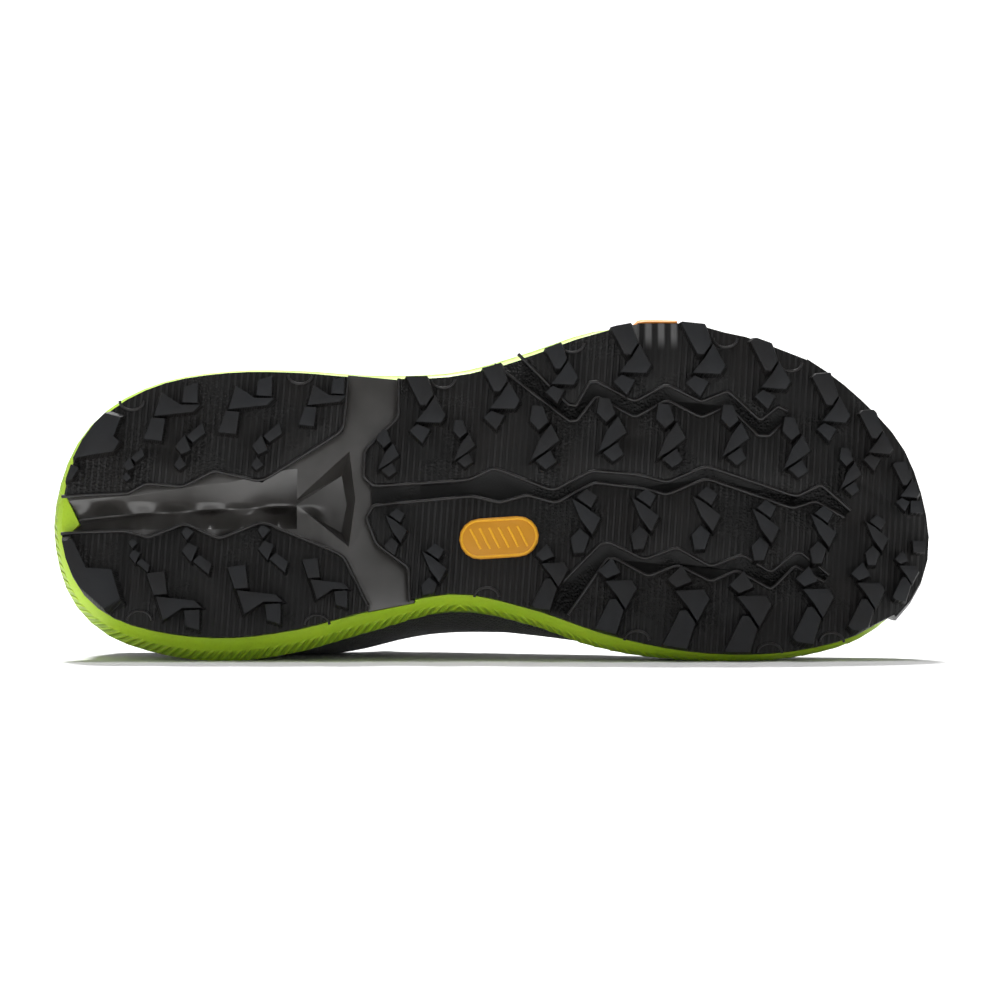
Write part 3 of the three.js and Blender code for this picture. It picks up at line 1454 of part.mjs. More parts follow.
function makeShoe() {
  const bodies = {
    outsole_forefoot: makeForefoot(),
    outsole_heel_lateral: makeLateralHeel(),
    outsole_heel_medial: makeMedialHeel(),
    tread_inlay: makeInlay(),
    channel_web: makeWeb(),
    midsole: makeMidsole(),
    side_tab: makeTab(),
    upper: makeUpper(),
    toe_guard: makeToeGuard(),
    heel_counter: makeHeelCounter(),
    eyestay: makeEyestay(),
    tongue: makeTongue(),
    insole: makeInsole(),
    laces: makeLaces(),
  };
  const floor = findFloor(bodies);
  const shoe = new THREE.Group();
  for (const [name, body] of Object.entries(bodies)) {
    shoe.add(toMesh(name, trimmed(body, floor)));
  }
  const up = floor.down.clone().negate();
  const ahead = new THREE.Vector3(1, 0, 0).addScaledVector(up, -up.x).normalize();
  const aside = up.clone().cross(ahead);
  const turn = new THREE.Matrix4().makeBasis(ahead, aside, up).transpose();
  shoe.quaternion.setFromRotationMatrix(turn);
  const stood = new THREE.Group();
  stood.add(shoe);
  stood.updateMatrixWorld(true);
  const box = new THREE.Box3().setFromObject(stood, true);
  stood.position.set(
    -(box.min.x + box.max.x) / 2,
    -(box.min.y + box.max.y) / 2,
    -box.min.z,
  );
  return stood;
}

export default makeShoe();
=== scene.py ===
"""Trail running shoe, right foot, lying on its medial side with its tread to the camera."""

import json
import math

import bpy
from mathutils import Matrix, Vector
from mathutils.bvhtree import BVHTree


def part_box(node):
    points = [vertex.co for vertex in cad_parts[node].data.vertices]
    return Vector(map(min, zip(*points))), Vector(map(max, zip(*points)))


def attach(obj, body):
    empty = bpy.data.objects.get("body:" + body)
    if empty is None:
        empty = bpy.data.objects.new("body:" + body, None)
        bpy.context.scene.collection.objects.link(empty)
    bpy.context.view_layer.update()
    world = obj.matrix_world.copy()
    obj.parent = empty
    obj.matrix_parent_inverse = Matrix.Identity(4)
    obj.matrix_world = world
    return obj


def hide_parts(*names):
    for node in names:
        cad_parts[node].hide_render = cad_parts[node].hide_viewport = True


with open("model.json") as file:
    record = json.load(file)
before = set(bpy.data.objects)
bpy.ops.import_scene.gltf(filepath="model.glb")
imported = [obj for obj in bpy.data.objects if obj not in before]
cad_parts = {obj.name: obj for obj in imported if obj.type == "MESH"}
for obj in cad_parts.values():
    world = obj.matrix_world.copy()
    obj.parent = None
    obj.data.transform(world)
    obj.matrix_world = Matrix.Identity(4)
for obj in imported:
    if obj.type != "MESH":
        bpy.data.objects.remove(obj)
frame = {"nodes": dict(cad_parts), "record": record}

bl_info = {
    "name": "Trail Running Shoe",
    "version": (1, 0, 0),
    "blender": (4, 5, 0),
    "location": "View3D > Sidebar > Shoe",
    "description": "Dresses a trail running shoe: rubber, foam, mesh, films and laces",
    "category": "Object",
}

MM = 0.001

# Sizes that the pieces share with the solids, in millimetres of the shoe's own frame
SHOE_LENGTH = 300
BALL_WIDTH = 117
LUG_HEIGHT = 4.5
TOE_SPRING = 16
ARCH_RISE = 2.5
HEEL_BEVEL = 5
BEVEL_END = 0.085
ARCH_START = 0.32
ARCH_END = 0.585
SPRING_START = 0.72
SPRING_POWER = 1.8
SHOE_START = Vector((-0.15003, -0.05424, 0.05215))
TREAD_LINE = -0.035

# Banks of the heel pods, the edges of the forefoot rubber and its flex grooves, as shares of the
# shoe's length and of the ball width
LATERAL_BANK = [
    (0.012, -0.009), (0.087, -0.012), (0.108, -0.042), (0.15, -0.033), (0.185, -0.08),
    (0.239, -0.048), (0.331, -0.199), (0.336, -0.356),
]
MEDIAL_BANK = [
    (0.012, 0.101), (0.087, 0.098), (0.111, 0.118), (0.152, 0.077), (0.192, 0.121),
    (0.24, 0.071), (0.332, 0.169), (0.36, 0.317),
]
LATERAL_LOBE = [
    (0.394, -0.356), (0.394, -0.241), (0.356, -0.143), (0.355, -0.063), (0.366, -0.036),
    (0.473, -0.057), (0.503, -0.091), (0.569, -0.021), (0.613, -0.08), (0.664, -0.069),
    (0.698, -0.046), (0.743, -0.094), (0.845, -0.009), (0.874, -0.048), (0.908, 0.026),
]
MEDIAL_LOBE = [
    (0.407, 0.302), (0.406, 0.202), (0.37, 0.136), (0.358, 0.056), (0.366, 0.021),
    (0.477, -0.009), (0.509, 0.012), (0.54, -0.009), (0.573, 0.015), (0.616, -0.045),
    (0.664, -0.03), (0.698, -0.009), (0.743, -0.057), (0.84, 0.026), (0.868, 0.003),
    (0.9, 0.047),
]
LATERAL_GROOVE_OUTER = [
    (0.53, -0.428), (0.587, -0.276), (0.596, -0.273), (0.611, -0.342), (0.619, -0.345),
    (0.662, -0.285), (0.698, -0.336), (0.738, -0.285), (0.768, -0.318), (0.805, -0.232),
    (0.826, -0.276), (0.837, -0.262),
]
LATERAL_GROOVE_INNER = [
    (0.503, -0.398), (0.588, -0.226), (0.597, -0.229), (0.619, -0.3), (0.662, -0.238),
    (0.699, -0.288), (0.738, -0.238), (0.768, -0.273), (0.802, -0.187), (0.815, -0.187),
    (0.834, -0.232),
]
MEDIAL_GROOVE_OUTER = [
    (0.554, 0.317), (0.622, 0.136), (0.634, 0.133), (0.672, 0.181), (0.709, 0.147),
    (0.747, 0.202), (0.783, 0.166), (0.815, 0.216), (0.843, 0.157), (0.851, 0.157),
    (0.882, 0.219),
]
MEDIAL_GROOVE_INNER = [
    (0.586, 0.344), (0.63, 0.181), (0.64, 0.181), (0.676, 0.231), (0.71, 0.199),
    (0.747, 0.246), (0.777, 0.213), (0.815, 0.267), (0.843, 0.196), (0.876, 0.24),
]
INLAY_PLACE = (0.508, 0.117)
INLAY_TURN = -0.05

# Swells of the channel's lower bank, in millimetres along the shoe
LOBE_START = 25.0
LOBE_PITCH = 23.0

# Ribs of the foam's side, in millimetres: radius of the round heel, where the lean of the ribs
# turns over, and where they start above the ground
HEEL_RADIUS = 50.0
RIB_FLIP = 139.0
RIB_BOTTOM = 11.5

# Fold of the side tab over the edge of the rubber, in metres: its middle across the row, its reach,
# how far it stands off, its thickness, and where its rays start
FOLD_MIDDLE = -0.0275
FOLD_REACH = 0.017
FOLD_LIFT = 0.001
FOLD_THICKNESS = 0.0016
FOLD_START = 0.14
FOLD_FALL = 0.06

# Inlay, in millimetres: its outline, its rim's inset, and its ribs
INLAY_LENGTH = 27.0
INLAY_WIDTH = 14.0
INLAY_RIM = 0.8
INLAY_RIBS = 6
INLAY_RIB_PITCH = 3.2
INLAY_RIB_LEAN = 1.6
INLAY_RIB_REACH = 3.6

# Stitches, in millimetres: inset from the film's edge, length, gap and thread
SEAM_INSET = 2.0
STITCH = 2.3
STITCH_GAP = 0.8
THREAD_RADIUS = 0.28

# Stage, in metres
WALL_RADIUS = 5.5
WALL_HEIGHT = 3.0
WALL_SUNK = 0.05
FLOOR_SIZE = (16, 12, 1)

# Camera: the photo's frame, the shoe's length in it, the floor's line and the outline's plane
FRAME_PIXELS = 984
SHOE_PIXELS = 874
FLOOR_PIXEL = 659
OUTLINE_Y = -0.033
SENSOR = 36.0

# Scallops in the rim of the rubber: place along the length, place of the rim across the ball width
SCALLOPS = [
    (0.091, -0.322), (0.282, -0.4), (0.444, -0.392), (0.591, -0.494), (0.766, -0.51),
    (0.84, -0.444), (0.103, 0.325), (0.303, 0.337), (0.494, 0.254), (0.663, 0.383),
    (0.813, 0.417), (0.884, 0.38),
]


def shoe_matrix():
    """From the shoe's own frame to the row's, by the direction of the tread in the record."""
    mounts = {mount["name"]: mount for mount in frame["record"]["mounts"]}
    up = -Vector(mounts["tread_forefoot"]["axis"]).normalized()
    ahead = Vector((1, 0, 0))
    ahead = (ahead - up * up.x).normalized()
    aside = up.cross(ahead)
    turn = Matrix((ahead, aside, up)).transposed().to_4x4()
    return Matrix.Translation(SHOE_START) @ turn


SHOE = shoe_matrix()


def rise(x):
    """Height of the bent sole at x millimetres from the heel."""
    along = x / SHOE_LENGTH
    height = 0
    if along < BEVEL_END:
        height += HEEL_BEVEL * (1 - along / BEVEL_END) ** 2
    if ARCH_START < along < ARCH_END:
        height += ARCH_RISE * math.sin(math.pi * (along - ARCH_START) / (ARCH_END - ARCH_START)) ** 2
    if along > SPRING_START:
        height += TOE_SPRING * ((along - SPRING_START) / (1 - SPRING_START)) ** SPRING_POWER
    return height


def tread_point(along, across, depth):
    """A place in the tread, in the row frame, from shares of the sizes and a depth from the lug tips."""
    x = along * SHOE_LENGTH
    y = (across + TREAD_LINE) * BALL_WIDTH
    return SHOE @ (Vector((x, y, depth + rise(x))) * MM)


# Objects and meshes

def clear_selection():
    if bpy.context.object and bpy.context.object.mode != "OBJECT":
        bpy.ops.object.mode_set(mode="OBJECT")
    bpy.ops.object.select_all(action="DESELECT")


def pick(*pieces):
    clear_selection()
    for piece in pieces:
        piece.select_set(True)
    bpy.context.view_layer.objects.active = pieces[-1]


def settle(piece):
    """Puts the object's place into its mesh."""
    pick(piece)
    bpy.ops.object.transform_apply(location=True, rotation=True, scale=True)


def joined(pieces, name):
    pick(*pieces)
    if len(pieces) > 1:
        bpy.ops.object.join()
    piece = bpy.context.object
    piece.name = name
    piece.data.name = name
    return piece


def merged_copy(node, name, flat_angle=1.0):
    """A new piece from a solid of the frame: corners merged and flat faces joined."""
    piece = bpy.data.objects.new(name, frame["nodes"][node].data.copy())
    bpy.context.scene.collection.objects.link(piece)
    piece.data.materials.clear()
    pick(piece)
    bpy.ops.object.mode_set(mode="EDIT")
    bpy.ops.mesh.select_all(action="SELECT")
    bpy.ops.mesh.remove_doubles(threshold=0.02 * MM)
    bpy.ops.mesh.dissolve_limited(angle_limit=math.radians(flat_angle))
    bpy.ops.mesh.normals_make_consistent(inside=False)
    bpy.ops.object.mode_set(mode="OBJECT")
    return piece


def add_modifier(piece, kind, **settings):
    pick(piece)
    modifier = piece.modifiers.new(kind.title(), kind)
    for key, value in settings.items():
        setattr(modifier, key, value)
    bpy.ops.object.modifier_apply(modifier=modifier.name)


def rounded(piece, width, segments=2, angle=32):
    add_modifier(
        piece, "BEVEL", width=width * MM, segments=segments, limit_method="ANGLE",
        angle_limit=math.radians(angle), harden_normals=False, use_clamp_overlap=True,
    )


def smoothed(piece, levels):
    pick(piece)
    bpy.ops.object.mode_set(mode="EDIT")
    bpy.ops.mesh.select_all(action="SELECT")
    bpy.ops.mesh.tris_convert_to_quads(face_threshold=math.radians(50), shape_threshold=math.radians(50))
    bpy.ops.object.mode_set(mode="OBJECT")
    add_modifier(piece, "SUBSURF", levels=levels, render_levels=levels)
    pick(piece)
    bpy.ops.object.shade_smooth()


def shade_by_angle(piece, angle=35):
    pick(piece)
    bpy.ops.object.shade_smooth_by_angle(angle=math.radians(angle))


def dress(piece, material, slot, *nodes):
    """Material and body of a finished piece; hides the solids it replaces. The slot argument is not
    used.
    """
    piece.data.materials.clear()
    piece.data.materials.append(material)
    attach(piece, "root")
    if nodes:
        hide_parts(*nodes)


def bead(points, radius, name, closed=False):
    """A round bead along a line of points, as a closed mesh."""
    curve = bpy.data.curves.new(name, "CURVE")
    curve.dimensions = "3D"
    spline = curve.splines.new("POLY")
    spline.points.add(len(points) - 1)
    for place, point in zip(spline.points, points):
        place.co = (*point, 1)
    spline.use_cyclic_u = closed
    curve.bevel_depth = radius * MM
    curve.bevel_resolution = 2
    curve.use_fill_caps = not closed
    piece = bpy.data.objects.new(name, curve)
    bpy.context.scene.collection.objects.link(piece)
    pick(piece)
    bpy.ops.object.convert(target="MESH")
    piece = bpy.context.object
    bpy.ops.object.shade_smooth()
    return piece


def threads(routes, radius, name):
    """Short stitches along several lines, as one mesh."""
    curve = bpy.data.curves.new(name, "CURVE")
    curve.dimensions = "3D"
    for points in routes:
        spline = curve.splines.new("POLY")
        spline.points.add(len(points) - 1)
        for place, point in zip(spline.points, points):
            place.co = (*point, 1)
    curve.bevel_depth = radius * MM
    curve.bevel_resolution = 1
    curve.use_fill_caps = True
    piece = bpy.data.objects.new(name, curve)
    bpy.context.scene.collection.objects.link(piece)
    pick(piece)
    bpy.ops.object.convert(target="MESH")
    piece = bpy.context.object
    bpy.ops.object.shade_smooth()
    return piece


def loops_of(mesh):
    """The closed lines of a mesh that has only edges, each as a list of points."""
    beside = {}
    for edge in mesh.edges:
        first, second = edge.vertices
        beside.setdefault(first, []).append(second)
        beside.setdefault(second, []).append(first)
    loops = []
    left = set(beside)
    while left:
        start = min(left)
        loop = [start]
        left.discard(start)
        while True:
            ahead = [i for i in beside[loop[-1]] if i in left]
            if not ahead:
                break
            loop.append(ahead[0])
            left.discard(ahead[0])
        if len(loop) > 5:
            loops.append([mesh.vertices[i].co.copy() for i in loop])
    return loops


def stitched(points, stitch, gap):
    """Cuts a closed line into stitches: lists of points along it."""
    fine = []
    for start, end in zip(points, points[1:] + points[:1]):
        steps = max(1, math.ceil((end - start).length / (0.4 * MM)))
        fine.extend(start.lerp(end, k / steps) for k in range(steps))
    pieces = []
    run = []
    walked = 0.0
    for before, here in zip(fine, fine[1:]):
        walked += (here - before).length
        if walked % ((stitch + gap) * MM) < stitch * MM:
            run.append(here)
        else:
            if len(run) > 2:
                pieces.append(run)
            run = []
    return pieces


def outer_faces(piece, inner, least):
    """Numbers of the faces of a film that look away from the shell under it."""
    tree = BVHTree.FromPolygons(
        [v.co for v in inner.data.vertices], [p.vertices for p in inner.data.polygons],
    )
    chosen = []
    for face in piece.data.polygons:
        nearest, _, _, distance = tree.find_nearest(face.center)
        away = (face.center - nearest)
        if distance > least * MM and away.normalized().dot(face.normal) > 0.6:
            chosen.append(face.index)
    return chosen


def patch_of(source, chosen, name):
    """A new piece with only the chosen faces of another."""
    patch = bpy.data.objects.new(name, source.data.copy())
    bpy.context.scene.collection.objects.link(patch)
    patch.data.materials.clear()
    pick(patch)
    bpy.ops.object.mode_set(mode="EDIT")
    bpy.ops.mesh.select_mode(type="FACE")
    bpy.ops.mesh.select_all(action="DESELECT")
    bpy.ops.object.mode_set(mode="OBJECT")
    kept = set(chosen)
    for face in patch.data.polygons:
        face.select = face.index not in kept
    bpy.ops.object.mode_set(mode="EDIT")
    bpy.ops.mesh.delete(type="FACE")
    bpy.ops.object.mode_set(mode="OBJECT")
    return patch


def seam(film, shell, name, least=0.35):
    """Stitches a little inside the outline of a film."""
    patch = patch_of(film, outer_faces(film, shell, least), name)
    pick(patch)
    bpy.ops.object.mode_set(mode="EDIT")
    bpy.ops.mesh.select_all(action="SELECT")
    bpy.ops.mesh.inset(thickness=SEAM_INSET * MM, depth=0, use_boundary=True, use_even_offset=False)
    bpy.ops.mesh.region_to_loop()
    bpy.ops.mesh.select_mode(type="EDGE", use_extend=False)
    bpy.ops.object.mode_set(mode="OBJECT")
    patch.data.update()
    kept = [tuple(e.vertices) for e in patch.data.edges if e.select]
    line = bpy.data.meshes.new(name)
    line.from_pydata([v.co for v in patch.data.vertices], kept, [])
    routes = []
    for loop in loops_of(line):
        routes.extend(stitched(loop, STITCH, STITCH_GAP))
    bpy.data.objects.remove(patch)
    return routes


def rounded_route(shares, depth, fillet=0.12):
    """Points of a zigzag line in the tread, its corners eased."""
    route = []
    for i, (along, across) in enumerate(shares):
        here = Vector((along, across))
        if i in (0, len(shares) - 1):
            route.append(here)
            continue
        before = Vector(shares[i - 1])
        after = Vector(shares[i + 1])
        entry = here.lerp(before, fillet)
        leave = here.lerp(after, fillet)
        for k in range(4):
            t = k / 3
            route.append(entry.lerp(here, t).lerp(here.lerp(leave, t), t))
    points = []
    for start, end in zip(route, route[1:]):
        steps = max(1, round(abs(end.x - start.x) / 0.02))
        points.extend(start.lerp(end, k / steps) for k in range(steps))
    points.append(route[-1])
    return [tread_point(p.x, p.y, depth) for p in points]


# Shader maths

class Value:
    """A shader value that takes part in Python expressions."""

    def __init__(self, recipe, socket):
        self.recipe = recipe
        self.socket = socket

    def _with(self, operation, *others):
        inputs = [self, *others]
        return self.recipe.node("ShaderNodeMath", {"operation": operation}, inputs)

    def __add__(self, other):
        return self._with("ADD", other)

    __radd__ = __add__

    def __mul__(self, other):
        return self._with("MULTIPLY", other)

    __rmul__ = __mul__

    def __sub__(self, other):
        return self._with("SUBTRACT", other)

    def __rsub__(self, other):
        return self.recipe.node("ShaderNodeMath", {"operation": "SUBTRACT"}, [other, self])

    def __truediv__(self, other):
        return self._with("DIVIDE", other)

    def __pow__(self, other):
        return self._with("POWER", other)

    def sine(self):
        return self._with("SINE")

    def absolute(self):
        return self._with("ABSOLUTE")

    def at_least(self, other):
        return self._with("MAXIMUM", other)

    def at_most(self, other):
        return self._with("MINIMUM", other)

    def step(self, low, high):
        """0 below low, 1 above high, smooth between."""
        return self.recipe.node(
            "ShaderNodeMapRange", {"interpolation_type": "SMOOTHSTEP"},
            {"Value": self, "From Min": low, "From Max": high},
        )


class Recipe:
    """One material: its nodes, in the shoe's own millimetres."""

    def __init__(self, name):
        self.material = bpy.data.materials.new(name)
        self.material.use_nodes = True
        self.tree = self.material.node_tree
        self.tree.nodes.clear()
        self.output = self.tree.nodes.new("ShaderNodeOutputMaterial")
        self.shader = self.tree.nodes.new("ShaderNodeBsdfPrincipled")
        self.tree.links.new(self.shader.outputs[0], self.output.inputs["Surface"])
        self.place = None

    def node(self, kind, settings, inputs, output=0):
        made = self.tree.nodes.new(kind)
        for key, value in settings.items():
            setattr(made, key, value)
        pairs = inputs.items() if isinstance(inputs, dict) else enumerate(inputs)
        for key, value in pairs:
            self.feed(made.inputs[key], value)
        return Value(self, made.outputs[output])

    def feed(self, socket, value):
        if isinstance(value, Value):
            self.tree.links.new(value.socket, socket)
        else:
            socket.default_value = value

    def coordinates(self):
        """Place in the shoe's own frame, in millimetres: whole, and as three values."""
        if self.place is None:
            raw = self.node("ShaderNodeTexCoord", {}, [], output=3)
            axes = SHOE.to_3x3().transposed()
            parts = []
            shifted = self.node(
                "ShaderNodeVectorMath", {"operation": "SUBTRACT"}, [raw, tuple(SHOE.translation)],
            )
            for axis in axes:
                part = self.node(
                    "ShaderNodeVectorMath", {"operation": "DOT_PRODUCT"}, [shifted, tuple(axis)],
                    output=1,
                )
                parts.append(part * 1000.0)
            whole = self.node("ShaderNodeCombineXYZ", {}, parts)
            self.place = (whole, *parts)
        return self.place

    def noise(self, scale, detail=3.0, roughness=0.5, stretch=None):
        whole = self.coordinates()[0]
        if stretch is not None:
            whole = self.node("ShaderNodeVectorMath", {"operation": "MULTIPLY"}, [whole, stretch])
        return self.node(
            "ShaderNodeTexNoise", {},
            {"Vector": whole, "Scale": scale, "Detail": detail, "Roughness": roughness},
        )

    def cells(self, scale):
        whole = self.coordinates()[0]
        return self.node("ShaderNodeTexVoronoi", {}, {"Vector": whole, "Scale": scale})

    def row_axis(self, axis):
        """Place along one axis of the row, in metres."""
        raw = self.node("ShaderNodeTexCoord", {}, [], output=3)
        return self.node("ShaderNodeSeparateXYZ", {}, [raw], output=axis)

    def mix(self, share, first, second):
        return self.node(
            "ShaderNodeMix", {"data_type": "RGBA"},
            {0: share, 6: as_colour(first), 7: as_colour(second)}, output=2,
        )

    def bump(self, height, distance, strength=1.0, under=None):
        inputs = {"Strength": strength, "Distance": distance * MM, "Height": height}
        if under is not None:
            inputs["Normal"] = under
        return self.node("ShaderNodeBump", {}, inputs)

    def set(self, **values):
        for key, value in values.items():
            self.feed(self.shader.inputs[key.replace("_", " ")], as_colour(value))
        return self.material


def as_colour(value):
    if isinstance(value, Value) or isinstance(value, (int, float)):
        return value
    value = tuple(value)
    return value if len(value) == 4 else (*value, 1.0)


def sole_rise(recipe):
    """The sole's bend as a shader value."""
    x = recipe.coordinates()[1]
    toe = ((x / SHOE_LENGTH - SPRING_START) / (1 - SPRING_START)).at_least(0.0)
    heel = (1 - x / (SHOE_LENGTH * BEVEL_END)).at_least(0.0)
    arch = ((x / SHOE_LENGTH - ARCH_START) / (ARCH_END - ARCH_START)).at_least(0.0).at_most(1.0)
    wave = (arch * math.pi).sine()
    return toe ** SPRING_POWER * TOE_SPRING + heel * heel * HEEL_BEVEL + wave * wave * ARCH_RISE


# Finishes

def rubber_finish(looks):
    recipe = Recipe("tread_rubber")
    _, x, y, z = recipe.coordinates()
    depth = z - sole_rise(recipe)
    base = depth.step(LUG_HEIGHT - 0.9, LUG_HEIGHT - 0.2)
    tip = 1 - depth.step(0.25, 0.7)
    lean = x + y * 0.07
    ribs = (lean * (2 * math.pi / looks.rib_pitch)).sine()
    worn = recipe.noise(0.09, detail=4.0, stretch=(1.0, 0.5, 0.5)).step(0.38, 0.6)
    sunken = depth.step(LUG_HEIGHT + 0.35, LUG_HEIGHT + 1.1)
    ribs = ribs.step(-0.35, 0.75) * base * (0.25 + worn * 0.75) * (1 - sunken)
    stipple = recipe.cells(1.1).step(0.25, 0.7)
    stipple = stipple * base * recipe.noise(0.05, detail=2.0).step(0.5, 0.62)
    steps = ((x + y) * (2 * math.pi / 1.5)).sine().step(-0.2, 0.4) * (1 - base) * (1 - tip)
    grain = recipe.noise(1.6, detail=6.0, roughness=0.65)
    patches = recipe.noise(0.06, detail=3.0)
    colour = recipe.mix(tip, looks.rubber, looks.lug_top)
    colour = recipe.mix(patches.step(0.35, 0.75) * 0.5, colour, looks.rubber_warm)
    # Painted highlight: the crests of the fine ribs are lighter, more so in random patches
    colour = recipe.mix(ribs * 0.6, colour, looks.rib_crest_highlight)
    # Painted shade: the floors of the grooves, below the base of the lugs, are darkened
    colour = recipe.mix(sunken * 0.8, colour, (0.002, 0.002, 0.002))
    # Painted highlight: a pale ribbed patch at the ball's lateral edge, where the rubber turns up to the
    # light from above
    ball = x.step(190.0, 195.0) * (1 - x.step(212.0, 217.0)) * (1 - y.step(-61.0, -55.0))
    broad = (x * (2 * math.pi / 4.4)).sine().step(-0.6, 0.6)
    colour = recipe.mix(ball * base * broad, colour, looks.wrap_highlight)
    shade = recipe.bump(ribs, 0.45, 0.9)
    shade = recipe.bump(stipple, 0.35, 0.7, under=shade)
    shade = recipe.bump(steps, 0.35, 0.8, under=shade)
    shade = recipe.bump(grain, 0.12, 0.5, under=shade)
    rough = 0.44 + grain * 0.22 - sunken * 0.12
    return recipe.set(
        Base_Color=colour, Roughness=rough, Normal=shade, Specular_IOR_Level=0.24,
    )


def bead_finish(looks):
    recipe = Recipe("bead_rubber")
    grain = recipe.noise(1.2, detail=4.0)
    colour = recipe.mix(grain.step(0.4, 0.7), looks.rubber_warm, looks.lug_top)
    shade = recipe.bump(grain, 0.06, 0.4)
    return recipe.set(
        Base_Color=colour, Roughness=0.34 + grain * 0.14, Normal=shade, Specular_IOR_Level=0.5,
    )


def web_finish(looks):
    recipe = Recipe("channel_film")
    _, x, y, _ = recipe.coordinates()
    grain = recipe.noise(2.2, detail=5.0, roughness=0.7)
    patches = recipe.noise(0.05, detail=3.0)
    colour = recipe.mix(patches.step(0.3, 0.8), looks.web_dark, looks.web_light)
    swell = ((x - LOBE_START) * (2 * math.pi / LOBE_PITCH)).sine()
    swell = swell * (y + 4.0).step(0.0, 5.0) * (1 - x.step(84.0, 100.0))
    shade = recipe.bump(swell, 3.4, 0.8)
    shade = recipe.bump(grain, 0.05, 0.3, under=shade)
    return recipe.set(
        Base_Color=colour, Roughness=0.24 + grain * 0.12, Normal=shade, Specular_IOR_Level=0.9,
    )


def foam_finish(looks):
    recipe = Recipe("lime_foam")
    _, x, y, z = recipe.coordinates()
    height = z - sole_rise(recipe)
    aside = y.absolute()
    around = recipe.node("ShaderNodeMath", {"operation": "ARCTAN2"}, [HEEL_RADIUS - x, aside])
    girth = (x - HEEL_RADIUS).at_least(0.0) - around.at_least(0.0) * HEEL_RADIUS
    mirrored = (girth - (RIB_FLIP - HEEL_RADIUS)).absolute()
    rib = ((mirrored - height * 0.75) * (2 * math.pi / looks.foam_rib_pitch)).sine()
    side = height.step(RIB_BOTTOM - 0.7, RIB_BOTTOM + 0.7) * (1 - height.step(30.0, 33.0))
    rib = rib.step(-0.7, 0.9) * side
    skin = recipe.noise(1.1, detail=5.0, roughness=0.6)
    patches = recipe.noise(0.045, detail=2.0)
    colour = recipe.mix(patches.step(0.3, 0.75), looks.foam, looks.foam_light)
    colour = recipe.mix(skin.step(0.5, 0.8) * 0.25, colour, looks.foam_pores_and_groove_shade)
    # Painted shade: darker in the grooves between the side's ribs
    colour = recipe.mix((side - rib) * 0.45, colour, looks.foam_pores_and_groove_shade)
    shade = recipe.bump(rib, 0.7, 1.0)
    shade = recipe.bump(skin, 0.07, 0.35, under=shade)
    return recipe.set(
        Base_Color=colour, Roughness=0.42 + skin * 0.14, Normal=shade,
        Subsurface_Weight=0.12, Subsurface_Scale=0.002,
    )


def coloured_rubber(name, colour, dark):
    recipe = Recipe(name)
    grain = recipe.noise(1.8, detail=5.0)
    shades = recipe.mix(grain.step(0.45, 0.75) * 0.4, colour, dark)
    shade = recipe.bump(grain, 0.06, 0.35)
    return recipe.set(Base_Color=shades, Roughness=0.4 + grain * 0.15, Normal=shade)


def mesh_finish(looks, name="black_mesh", pitch=2.6):
    """Knitted mesh: rows of small open cells, offset from row to row."""
    recipe = Recipe(name)
    _, x, y, z = recipe.coordinates()
    turn = 2 * math.pi / pitch
    first = (x * turn + z * turn * 0.5).sine()
    second = (z * turn * 0.9 - x * turn * 0.35 + y * turn * 0.25).sine()
    third = (y * turn + x * turn * 0.3).sine()
    cell = (first * second + third * first * 0.5).absolute()
    open_cell = cell.step(0.35, 0.8)
    yarn = recipe.noise(4.0, detail=3.0, stretch=(1.0, 1.0, 2.2))
    colour = recipe.mix(open_cell, looks.mesh, looks.mesh_dark)
    colour = recipe.mix(yarn.step(0.4, 0.75) * (1 - open_cell) * 0.6, colour, looks.mesh_light)
    shade = recipe.bump(1 - open_cell, 0.4, 0.9)
    shade = recipe.bump(yarn, 0.08, 0.5, under=shade)
    return recipe.set(
        Base_Color=colour, Roughness=0.82 + yarn * 0.1, Normal=shade, Sheen_Weight=0.25,
        Sheen_Roughness=0.5,
    )


def film_finish(looks):
    recipe = Recipe("black_film")
    grain = recipe.noise(1.4, detail=5.0, roughness=0.6)
    cells = recipe.cells(1.1)
    colour = recipe.mix(grain.step(0.4, 0.8) * 0.5, looks.film, looks.film_light)
    shade = recipe.bump(cells, 0.05, 0.35)
    shade = recipe.bump(grain, 0.04, 0.3, under=shade)
    return recipe.set(Base_Color=colour, Roughness=0.36 + grain * 0.14, Normal=shade)


def thread_finish(looks):
    recipe = Recipe("grey_thread")
    yarn = recipe.noise(3.5, detail=3.0)
    colour = recipe.mix(yarn.step(0.35, 0.7), looks.thread_dark, looks.thread)
    shade = recipe.bump(yarn, 0.05, 0.5)
    return recipe.set(Base_Color=colour, Roughness=0.6 + yarn * 0.2, Normal=shade, Sheen_Weight=0.2)


def lace_finish(looks):
    recipe = Recipe("black_lace")
    _, x, y, z = recipe.coordinates()
    turn = 2 * math.pi / 1.1
    weave = ((x + y) * turn).sine() * ((x - y) * turn).sine()
    yarn = recipe.noise(5.0, detail=3.0)
    colour = recipe.mix(weave.step(-0.2, 0.6), looks.mesh_dark, looks.mesh_light)
    shade = recipe.bump(weave, 0.15, 0.7)
    shade = recipe.bump(yarn, 0.05, 0.4, under=shade)
    return recipe.set(Base_Color=colour, Roughness=0.86, Normal=shade, Sheen_Weight=0.3)


FINISHES = {}


def finish(name, maker, *details):
    if name not in FINISHES:
        FINISHES[name] = maker(*details)
    return FINISHES[name]


# What a user would change

def colour_setting(name, description, default):
    return bpy.props.FloatVectorProperty(
        name=name, description=description, subtype="COLOR", size=3, min=0, max=1, default=default,
    )


